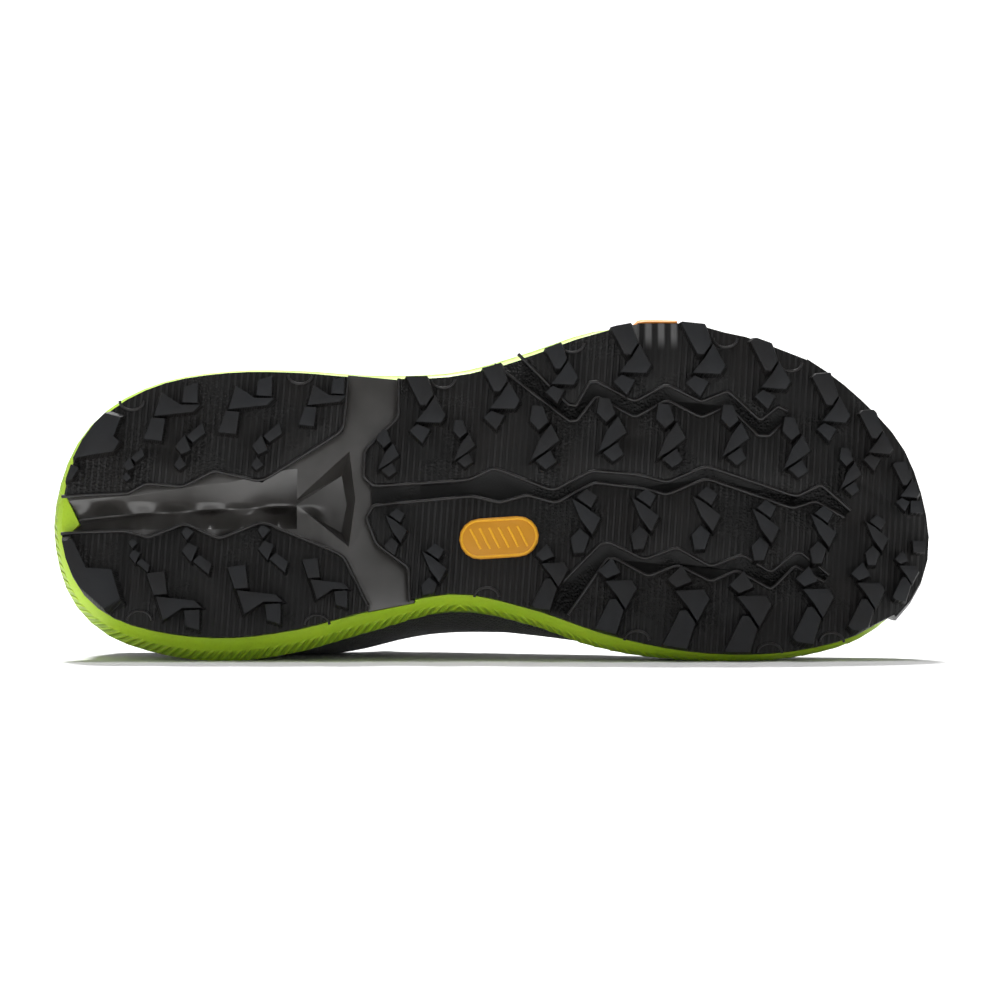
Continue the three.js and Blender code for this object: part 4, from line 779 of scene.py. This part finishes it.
class ShoeLooks(bpy.types.PropertyGroup):
    """Colours of the shoe."""

    rubber: colour_setting("Rubber", "Tread rubber between the lugs", (0.006, 0.006, 0.006))
    rubber_warm: colour_setting("Warm rubber", "Brownish patches of the tread", (0.011, 0.009, 0.008))
    # Painted highlight of the fine rib crests
    rib_crest_highlight: colour_setting("Rib crest highlight", "Painted highlight on the crests of the fine ribs", (0.03, 0.03, 0.03))
    lug_top: colour_setting("Lug tops", "Flat tips of the lugs", (0.017, 0.018, 0.02))
    # Painted highlight of the ribs at the ball's edge
    wrap_highlight: colour_setting("Wrap highlight", "Painted highlight on the ribs at the ball's edge", (0.11, 0.11, 0.11))
    web_dark: colour_setting("Channel dark", "Darker part of the heel channel", (0.026, 0.024, 0.022))
    web_light: colour_setting("Channel light", "Lighter part of the heel channel", (0.06, 0.057, 0.054))
    foam: colour_setting("Foam", "Lime foam", (0.36, 0.56, 0.012))
    foam_light: colour_setting("Light foam", "Lighter patches of the foam", (0.43, 0.64, 0.02))
    # Random darker pores of the foam, and painted shade in the grooves between its ribs
    foam_pores_and_groove_shade: colour_setting("Dark foam and groove shade", "Darker pores of the foam's skin, and painted shade in the grooves between its ribs", (0.13, 0.24, 0.004))
    golden: colour_setting("Inlay", "Golden-orange inlay", (0.88, 0.45, 0.014))
    golden_dark: colour_setting("Inlay dark", "Darker grain of the inlay", (0.62, 0.27, 0.008))
    orange: colour_setting("Tab", "Orange side tab", (0.72, 0.24, 0.012))
    mesh: colour_setting("Mesh", "Black yarn of the upper", (0.022, 0.022, 0.023))
    mesh_dark: colour_setting("Mesh cells", "Open cells of the mesh", (0.003, 0.003, 0.003))
    mesh_light: colour_setting("Mesh light", "Yarn that catches the light", (0.055, 0.055, 0.058))
    thread: colour_setting("Thread", "Grey stitching thread", (0.1, 0.1, 0.105))
    thread_dark: colour_setting("Thread dark", "Shaded side of the thread", (0.05, 0.05, 0.052))
    film: colour_setting("Film", "Black overlays", (0.012, 0.012, 0.013))
    film_light: colour_setting("Film light", "Grain of the overlays", (0.022, 0.022, 0.024))
    foam_rib_pitch: bpy.props.FloatProperty(
        name="Foam rib pitch", description="Distance of the foam's ribs in millimetres", default=3.1,
        min=1, max=8,
    )
    rib_pitch: bpy.props.FloatProperty(
        name="Rib pitch", description="Distance of the fine tread ribs in millimetres", default=2.1,
        min=1, max=5,
    )


class ShoeSizes(bpy.types.PropertyGroup):
    """Sizes that only the dressing has."""

    edge: bpy.props.FloatProperty(
        name="Lug edge", description="Rounding of the lug edges", default=0.0003, min=0.0001,
        max=0.001, unit="LENGTH",
    )
    bead: bpy.props.FloatProperty(
        name="Bead", description="Radius of the beads along the grooves", default=0.0006,
        min=0.0001, max=0.002, unit="LENGTH",
    )
    camera_distance: bpy.props.FloatProperty(
        name="Camera distance", description="From the camera to the tread", default=1.5, min=0.5,
        max=5, unit="LENGTH",
    )


# Pieces

class SHOE_OT_tread(bpy.types.Operator):
    """Adds the three rubber pods of the outsole with eased edges"""

    bl_idname = "shoe.tread"
    bl_label = "Tread"

    def execute(self, context):
        looks = context.scene.shoe_looks
        material = finish("rubber", rubber_finish, looks)
        for node in ("outsole_forefoot", "outsole_heel_lateral", "outsole_heel_medial"):
            piece = merged_copy(node, node.replace("outsole", "tread"))
            rounded(piece, context.scene.shoe_sizes.edge / MM)
            shade_by_angle(piece, 40)
            dress(piece, material, "tread_rubber", node)
        return {"FINISHED"}


class SHOE_OT_beads(bpy.types.Operator):
    """Adds the thin raised beads along the grooves and the banks"""

    bl_idname = "shoe.beads"
    bl_label = "Beads"

    def execute(self, context):
        looks = context.scene.shoe_looks
        radius = context.scene.shoe_sizes.bead / MM
        lines = {
            "bank": [LATERAL_BANK, MEDIAL_BANK],
            "lobe": [LATERAL_LOBE, MEDIAL_LOBE],
            "lateral_groove": [LATERAL_GROOVE_OUTER, LATERAL_GROOVE_INNER],
            "medial_groove": [MEDIAL_GROOVE_OUTER, MEDIAL_GROOVE_INNER],
        }
        material = finish("bead", bead_finish, looks)
        for name, routes in lines.items():
            beads = [
                bead(rounded_route(route, LUG_HEIGHT - 0.1), radius, name) for route in routes
            ]
            piece = joined(beads, f"{name}_beads")
            dress(piece, material, "tread_rubber")
        arches = [bead(self.arch(along, across), radius * 0.8, "arch") for along, across in SCALLOPS]
        piece = joined(arches, "rim_arches")
        dress(piece, material, "tread_rubber")
        return {"FINISHED"}

    def arch(self, along, across, half=4.2, depth=3.2, steps=10):
        """A small arch that opens outwards over the rim."""
        inward = depth if across < 0 else -depth
        points = []
        for i in range(steps + 1):
            angle = math.pi * i / steps
            points.append(tread_point(
                along - half * math.cos(angle) / SHOE_LENGTH,
                across - TREAD_LINE + inward * math.sin(angle) / BALL_WIDTH,
                LUG_HEIGHT - 0.05,
            ))
        return points


class SHOE_OT_inlay(bpy.types.Operator):
    """Adds the golden inlay with a raised rim and plain slanted ribs"""

    bl_idname = "shoe.inlay"
    bl_label = "Inlay"

    def execute(self, context):
        looks = context.scene.shoe_looks
        material = finish("golden", coloured_rubber, "golden_rubber", looks.golden, looks.golden_dark)
        plate = merged_copy("tread_inlay", "inlay_plate")
        rounded(plate, 0.2)
        shade_by_angle(plate)
        ground = finish(
            "ground", coloured_rubber, "golden_ground", looks.golden_dark, looks.golden_dark,
        )
        dress(plate, ground, "golden_rubber", "tread_inlay")
        beads = []
        rim = []
        radius = INLAY_WIDTH / 2 - INLAY_RIM
        for i in range(40):
            angle = 2 * math.pi * i / 40
            shift = (INLAY_LENGTH - INLAY_WIDTH) / 2 * (1 if math.cos(angle) >= 0 else -1)
            rim.append(self.place(shift + radius * math.cos(angle), radius * math.sin(angle)))
        beads.append(bead(rim, 0.42, "rim", closed=True))
        for i in range(INLAY_RIBS):
            middle = (i - (INLAY_RIBS - 1) / 2) * INLAY_RIB_PITCH
            ends = [
                self.place(middle - INLAY_RIB_LEAN, -INLAY_RIB_REACH),
                self.place(middle + INLAY_RIB_LEAN, INLAY_RIB_REACH),
            ]
            beads.append(bead(ends, 0.45, "rib"))
        piece = joined(beads, "inlay_ribs")
        dress(piece, material, "golden_rubber")
        return {"FINISHED"}

    def place(self, x, y):
        turned_x = x * math.cos(INLAY_TURN) - y * math.sin(INLAY_TURN)
        turned_y = x * math.sin(INLAY_TURN) + y * math.cos(INLAY_TURN)
        return tread_point(
            INLAY_PLACE[0] + turned_x / SHOE_LENGTH, INLAY_PLACE[1] + turned_y / BALL_WIDTH,
            LUG_HEIGHT - 1.15,
        )


class SHOE_OT_channel(bpy.types.Operator):
    """Adds the moulded web of the heel channel"""

    bl_idname = "shoe.channel"
    bl_label = "Channel"

    def execute(self, context):
        looks = context.scene.shoe_looks
        piece = merged_copy("channel_web", "channel")
        rounded(piece, 0.5, segments=3, angle=20)
        shade_by_angle(piece, 50)
        dress(piece, finish("web", web_finish, looks), "channel_film", "channel_web")
        return {"FINISHED"}


class SHOE_OT_foam(bpy.types.Operator):
    """Adds the foam midsole with its slanted ribs and the side tab"""

    bl_idname = "shoe.foam"
    bl_label = "Foam"

    def execute(self, context):
        looks = context.scene.shoe_looks
        piece = merged_copy("midsole", "foam")
        rounded(piece, 0.18, segments=1, angle=18)
        shade_by_angle(piece, 30)
        dress(piece, finish("foam", foam_finish, looks), "lime_foam", "midsole")
        tab = merged_copy("side_tab", "ball_tab")
        rounded(tab, 0.4, segments=3)
        shade_by_angle(tab, 40)
        material = finish("orange", coloured_rubber, "orange_rubber", looks.orange, looks.golden_dark)
        dress(tab, material, "orange_rubber", "side_tab")
        self.add_fold(material)
        return {"FINISHED"}

    def add_fold(self, material):
        """The end of the tab that folds over the edge of the rubber."""
        low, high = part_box("side_tab")
        trees = []
        for node in ("outsole_forefoot", "midsole", "side_tab"):
            mesh = frame["nodes"][node].data
            trees.append(BVHTree.FromPolygons(
                [v.co for v in mesh.vertices], [p.vertices for p in mesh.polygons],
            ))
        clear_selection()
        bpy.ops.mesh.primitive_grid_add(
            x_subdivisions=12, y_subdivisions=14, size=1,
            location=((low[0] + high[0]) / 2, FOLD_MIDDLE, FOLD_START),
        )
        fold = bpy.context.object
        fold.name = "tab_fold"
        fold.scale = (high[0] - low[0], FOLD_REACH, 1)
        settle(fold)
        for corner in fold.data.vertices:
            hits = [tree.ray_cast(corner.co, Vector((0, 0, -1)), FOLD_FALL)[0] for tree in trees]
            corner.co.z = max(hit.z for hit in hits if hit is not None) + FOLD_LIFT
        add_modifier(fold, "SMOOTH", factor=0.5, iterations=6)
        add_modifier(fold, "SOLIDIFY", thickness=FOLD_THICKNESS, offset=-1)
        rounded(fold, 0.35, segments=2, angle=50)
        shade_by_angle(fold, 50)
        dress(fold, material, "orange_rubber")


class SHOE_OT_upper(bpy.types.Operator):
    """Adds the mesh upper, its lining, the films on it and their stitches"""

    bl_idname = "shoe.upper"
    bl_label = "Upper"

    def execute(self, context):
        looks = context.scene.shoe_looks
        shell = merged_copy("upper", "shell", flat_angle=0.05)
        smoothed(shell, 2)
        dress(shell, finish("mesh", mesh_finish, looks), "black_mesh", "upper")
        self.add_lining(shell, looks)
        film = finish("film", film_finish, looks)
        routes = []
        for node, name in (
            ("toe_guard", "toe_film"), ("heel_counter", "heel_film"), ("eyestay", "lace_film"),
        ):
            piece = merged_copy(node, name, flat_angle=0.05)
            routes.extend(seam(piece, shell, f"{name}_seam"))
            rounded(piece, 0.3)
            shade_by_angle(piece, 40)
            dress(piece, film, "black_film", node)
        stitches = threads(routes, THREAD_RADIUS, "film_stitches")
        dress(stitches, finish("thread", thread_finish, looks), "black_lace")
        return {"FINISHED"}


    def add_lining(self, shell, looks):
        """Fabric over the inner side of the shell."""
        tree = BVHTree.FromPolygons(
            [v.co for v in shell.data.vertices], [p.vertices for p in shell.data.polygons],
        )
        inside = []
        for face in shell.data.polygons:
            start = face.center + face.normal * 0.4 * MM
            if tree.ray_cast(start, face.normal, 0.15)[0] is not None:
                inside.append(face.index)
        lining = patch_of(shell, inside, "lining")
        add_modifier(lining, "SOLIDIFY", thickness=0.5 * MM, offset=1)
        material = finish("lining", mesh_finish, looks, "footbed_fabric", 1.4)
        dress(lining, material, "footbed_fabric")


class SHOE_OT_inside(bpy.types.Operator):
    """Adds the padded tongue and the insole"""

    bl_idname = "shoe.inside"
    bl_label = "Tongue and insole"

    def execute(self, context):
        looks = context.scene.shoe_looks
        tongue = merged_copy("tongue", "padded_tongue", flat_angle=0.05)
        smoothed(tongue, 2)
        dress(tongue, finish("mesh", mesh_finish, looks), "black_mesh", "tongue")
        insole = merged_copy("insole", "footbed", flat_angle=0.05)
        rounded(insole, 1.2, segments=3, angle=50)
        shade_by_angle(insole, 60)
        lining = finish("lining", mesh_finish, looks, "footbed_fabric", 1.4)
        dress(insole, lining, "footbed_fabric", "insole")
        return {"FINISHED"}


class SHOE_OT_laces(bpy.types.Operator):
    """Adds the crossed flat laces"""

    bl_idname = "shoe.laces"
    bl_label = "Laces"

    def execute(self, context):
        looks = context.scene.shoe_looks
        piece = merged_copy("laces", "lacing")
        rounded(piece, 0.45, segments=3, angle=40)
        shade_by_angle(piece, 50)
        dress(piece, finish("lace", lace_finish, looks), "black_lace", "laces")
        return {"FINISHED"}


class SHOE_OT_stage(bpy.types.Operator):
    """Adds the pale floor, the studio light and the camera"""

    bl_idname = "shoe.stage"
    bl_label = "Stage"

    def execute(self, context):
        self.add_floor()
        self.add_backdrop()
        self.add_light("top", (0.0, 0.02, 1.2), 0.4, 6)
        self.add_light("key", (-0.9, -0.7, 1.2), 0.5, 1.6)
        self.add_sun(5.0, 9)
        world = bpy.data.worlds.new("studio")
        world.use_nodes = True
        world.node_tree.nodes["Background"].inputs[0].default_value = (1, 1, 1, 1)
        world.node_tree.nodes["Background"].inputs[1].default_value = 0.13
        context.scene.world = world
        context.scene.view_settings.view_transform = "Standard"
        self.add_camera(context)
        return {"FINISHED"}

    def add_floor(self):
        clear_selection()
        bpy.ops.mesh.primitive_plane_add(size=1, location=(0, 1.0, 0))
        floor = bpy.context.object
        floor.name = "floor"
        floor.scale = FLOOR_SIZE
        settle(floor)
        recipe = Recipe("pale_floor")
        cloud = recipe.noise(0.004, detail=2.0)
        colour = recipe.mix(cloud, (0.9, 0.9, 0.9), (0.92, 0.92, 0.92))
        glow = recipe.mix(recipe.row_axis(1).step(1.2, 2.4), (0, 0, 0), (0.7, 0.7, 0.7))
        floor.data.materials.append(recipe.set(
            Base_Color=colour, Roughness=0.9, Emission_Color=glow, Emission_Strength=1.0,
        ))

    def add_backdrop(self):
        """A round wall far from the shoe, bright only where the camera looks."""
        clear_selection()
        bpy.ops.mesh.primitive_cylinder_add(
            vertices=96, radius=WALL_RADIUS, depth=WALL_HEIGHT, end_fill_type="NOTHING",
            location=(0, 0, WALL_HEIGHT / 2 - WALL_SUNK),
        )
        wall = bpy.context.object
        wall.name = "backdrop"
        settle(wall)
        bpy.ops.object.mode_set(mode="EDIT")
        bpy.ops.mesh.select_all(action="SELECT")
        bpy.ops.mesh.flip_normals()
        bpy.ops.object.mode_set(mode="OBJECT")
        bpy.ops.object.shade_smooth()
        recipe = Recipe("backdrop_white")
        aside, behind, above = (recipe.row_axis(i) for i in range(3))
        bright = (1 - aside.absolute().step(1.1, 2.6)) * behind.step(1.0, 4.0)
        bright = bright * (1 - above.step(1.3, 3.2))
        glow = recipe.mix(bright, (0.16, 0.16, 0.16), (1.1, 1.1, 1.1))
        wall.data.materials.append(recipe.set(
            Base_Color=(0.3, 0.3, 0.3), Roughness=0.9, Emission_Color=glow, Emission_Strength=1.0,
        ))

    def add_sun(self, power, softness):
        """Soft light from above and behind, which throws a short shadow forward."""
        data = bpy.data.lights.new("sun", "SUN")
        data.energy = power
        data.angle = math.radians(softness)
        sun = bpy.data.objects.new("sun", data)
        sun.rotation_euler = Vector((0.08, -0.52, -0.84)).to_track_quat("-Z", "Y").to_euler()
        bpy.context.scene.collection.objects.link(sun)

    def add_light(self, name, place, size, power):
        data = bpy.data.lights.new(name, "AREA")
        data.shape = "SQUARE"
        data.size = size
        data.energy = power
        light = bpy.data.objects.new(name, data)
        light.location = place
        aim = Vector((0, 0, 0.05)) - Vector(place)
        light.rotation_euler = aim.to_track_quat("-Z", "Y").to_euler()
        bpy.context.scene.collection.objects.link(light)

    def add_camera(self, context):
        """The photo's view: level, square to the tread, the shoe's length over most of the frame."""
        distance = context.scene.shoe_sizes.camera_distance
        data = bpy.data.cameras.new("camera")
        data.sensor_width = SENSOR
        data.lens = SENSOR * SHOE_PIXELS / FRAME_PIXELS * distance / (SHOE_LENGTH * MM)
        data.clip_end = 50
        camera = bpy.data.objects.new("camera", data)
        height = (FLOOR_PIXEL - FRAME_PIXELS / 2) * SHOE_LENGTH * MM / SHOE_PIXELS
        camera.location = (0, OUTLINE_Y - distance, height)
        camera.rotation_euler = (math.pi / 2, 0, 0)
        context.scene.collection.objects.link(camera)
        context.scene.camera = camera


OPERATORS = (
    SHOE_OT_stage, SHOE_OT_tread, SHOE_OT_beads, SHOE_OT_inlay, SHOE_OT_channel, SHOE_OT_foam,
    SHOE_OT_upper, SHOE_OT_inside, SHOE_OT_laces,
)


class SHOE_PT_panel(bpy.types.Panel):
    """Lists the pieces of the shoe."""

    bl_label = "Trail Running Shoe"
    bl_idname = "SHOE_PT_panel"
    bl_space_type = "VIEW_3D"
    bl_region_type = "UI"
    bl_category = "Shoe"

    def draw(self, context):
        for operator in OPERATORS:
            self.layout.operator(operator.bl_idname)


CLASSES = (ShoeLooks, ShoeSizes, *OPERATORS, SHOE_PT_panel)


def register():
    for cls in CLASSES:
        bpy.utils.register_class(cls)
    bpy.types.Scene.shoe_looks = bpy.props.PointerProperty(type=ShoeLooks)
    bpy.types.Scene.shoe_sizes = bpy.props.PointerProperty(type=ShoeSizes)


def unregister():
    del bpy.types.Scene.shoe_sizes
    del bpy.types.Scene.shoe_looks
    for cls in reversed(CLASSES):
        bpy.utils.unregister_class(cls)


def main():
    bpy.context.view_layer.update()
    register()
    for operator in OPERATORS:
        group, name = operator.bl_idname.split(".")
        getattr(getattr(bpy.ops, group), name)()


if __name__ == "__main__":
    main()
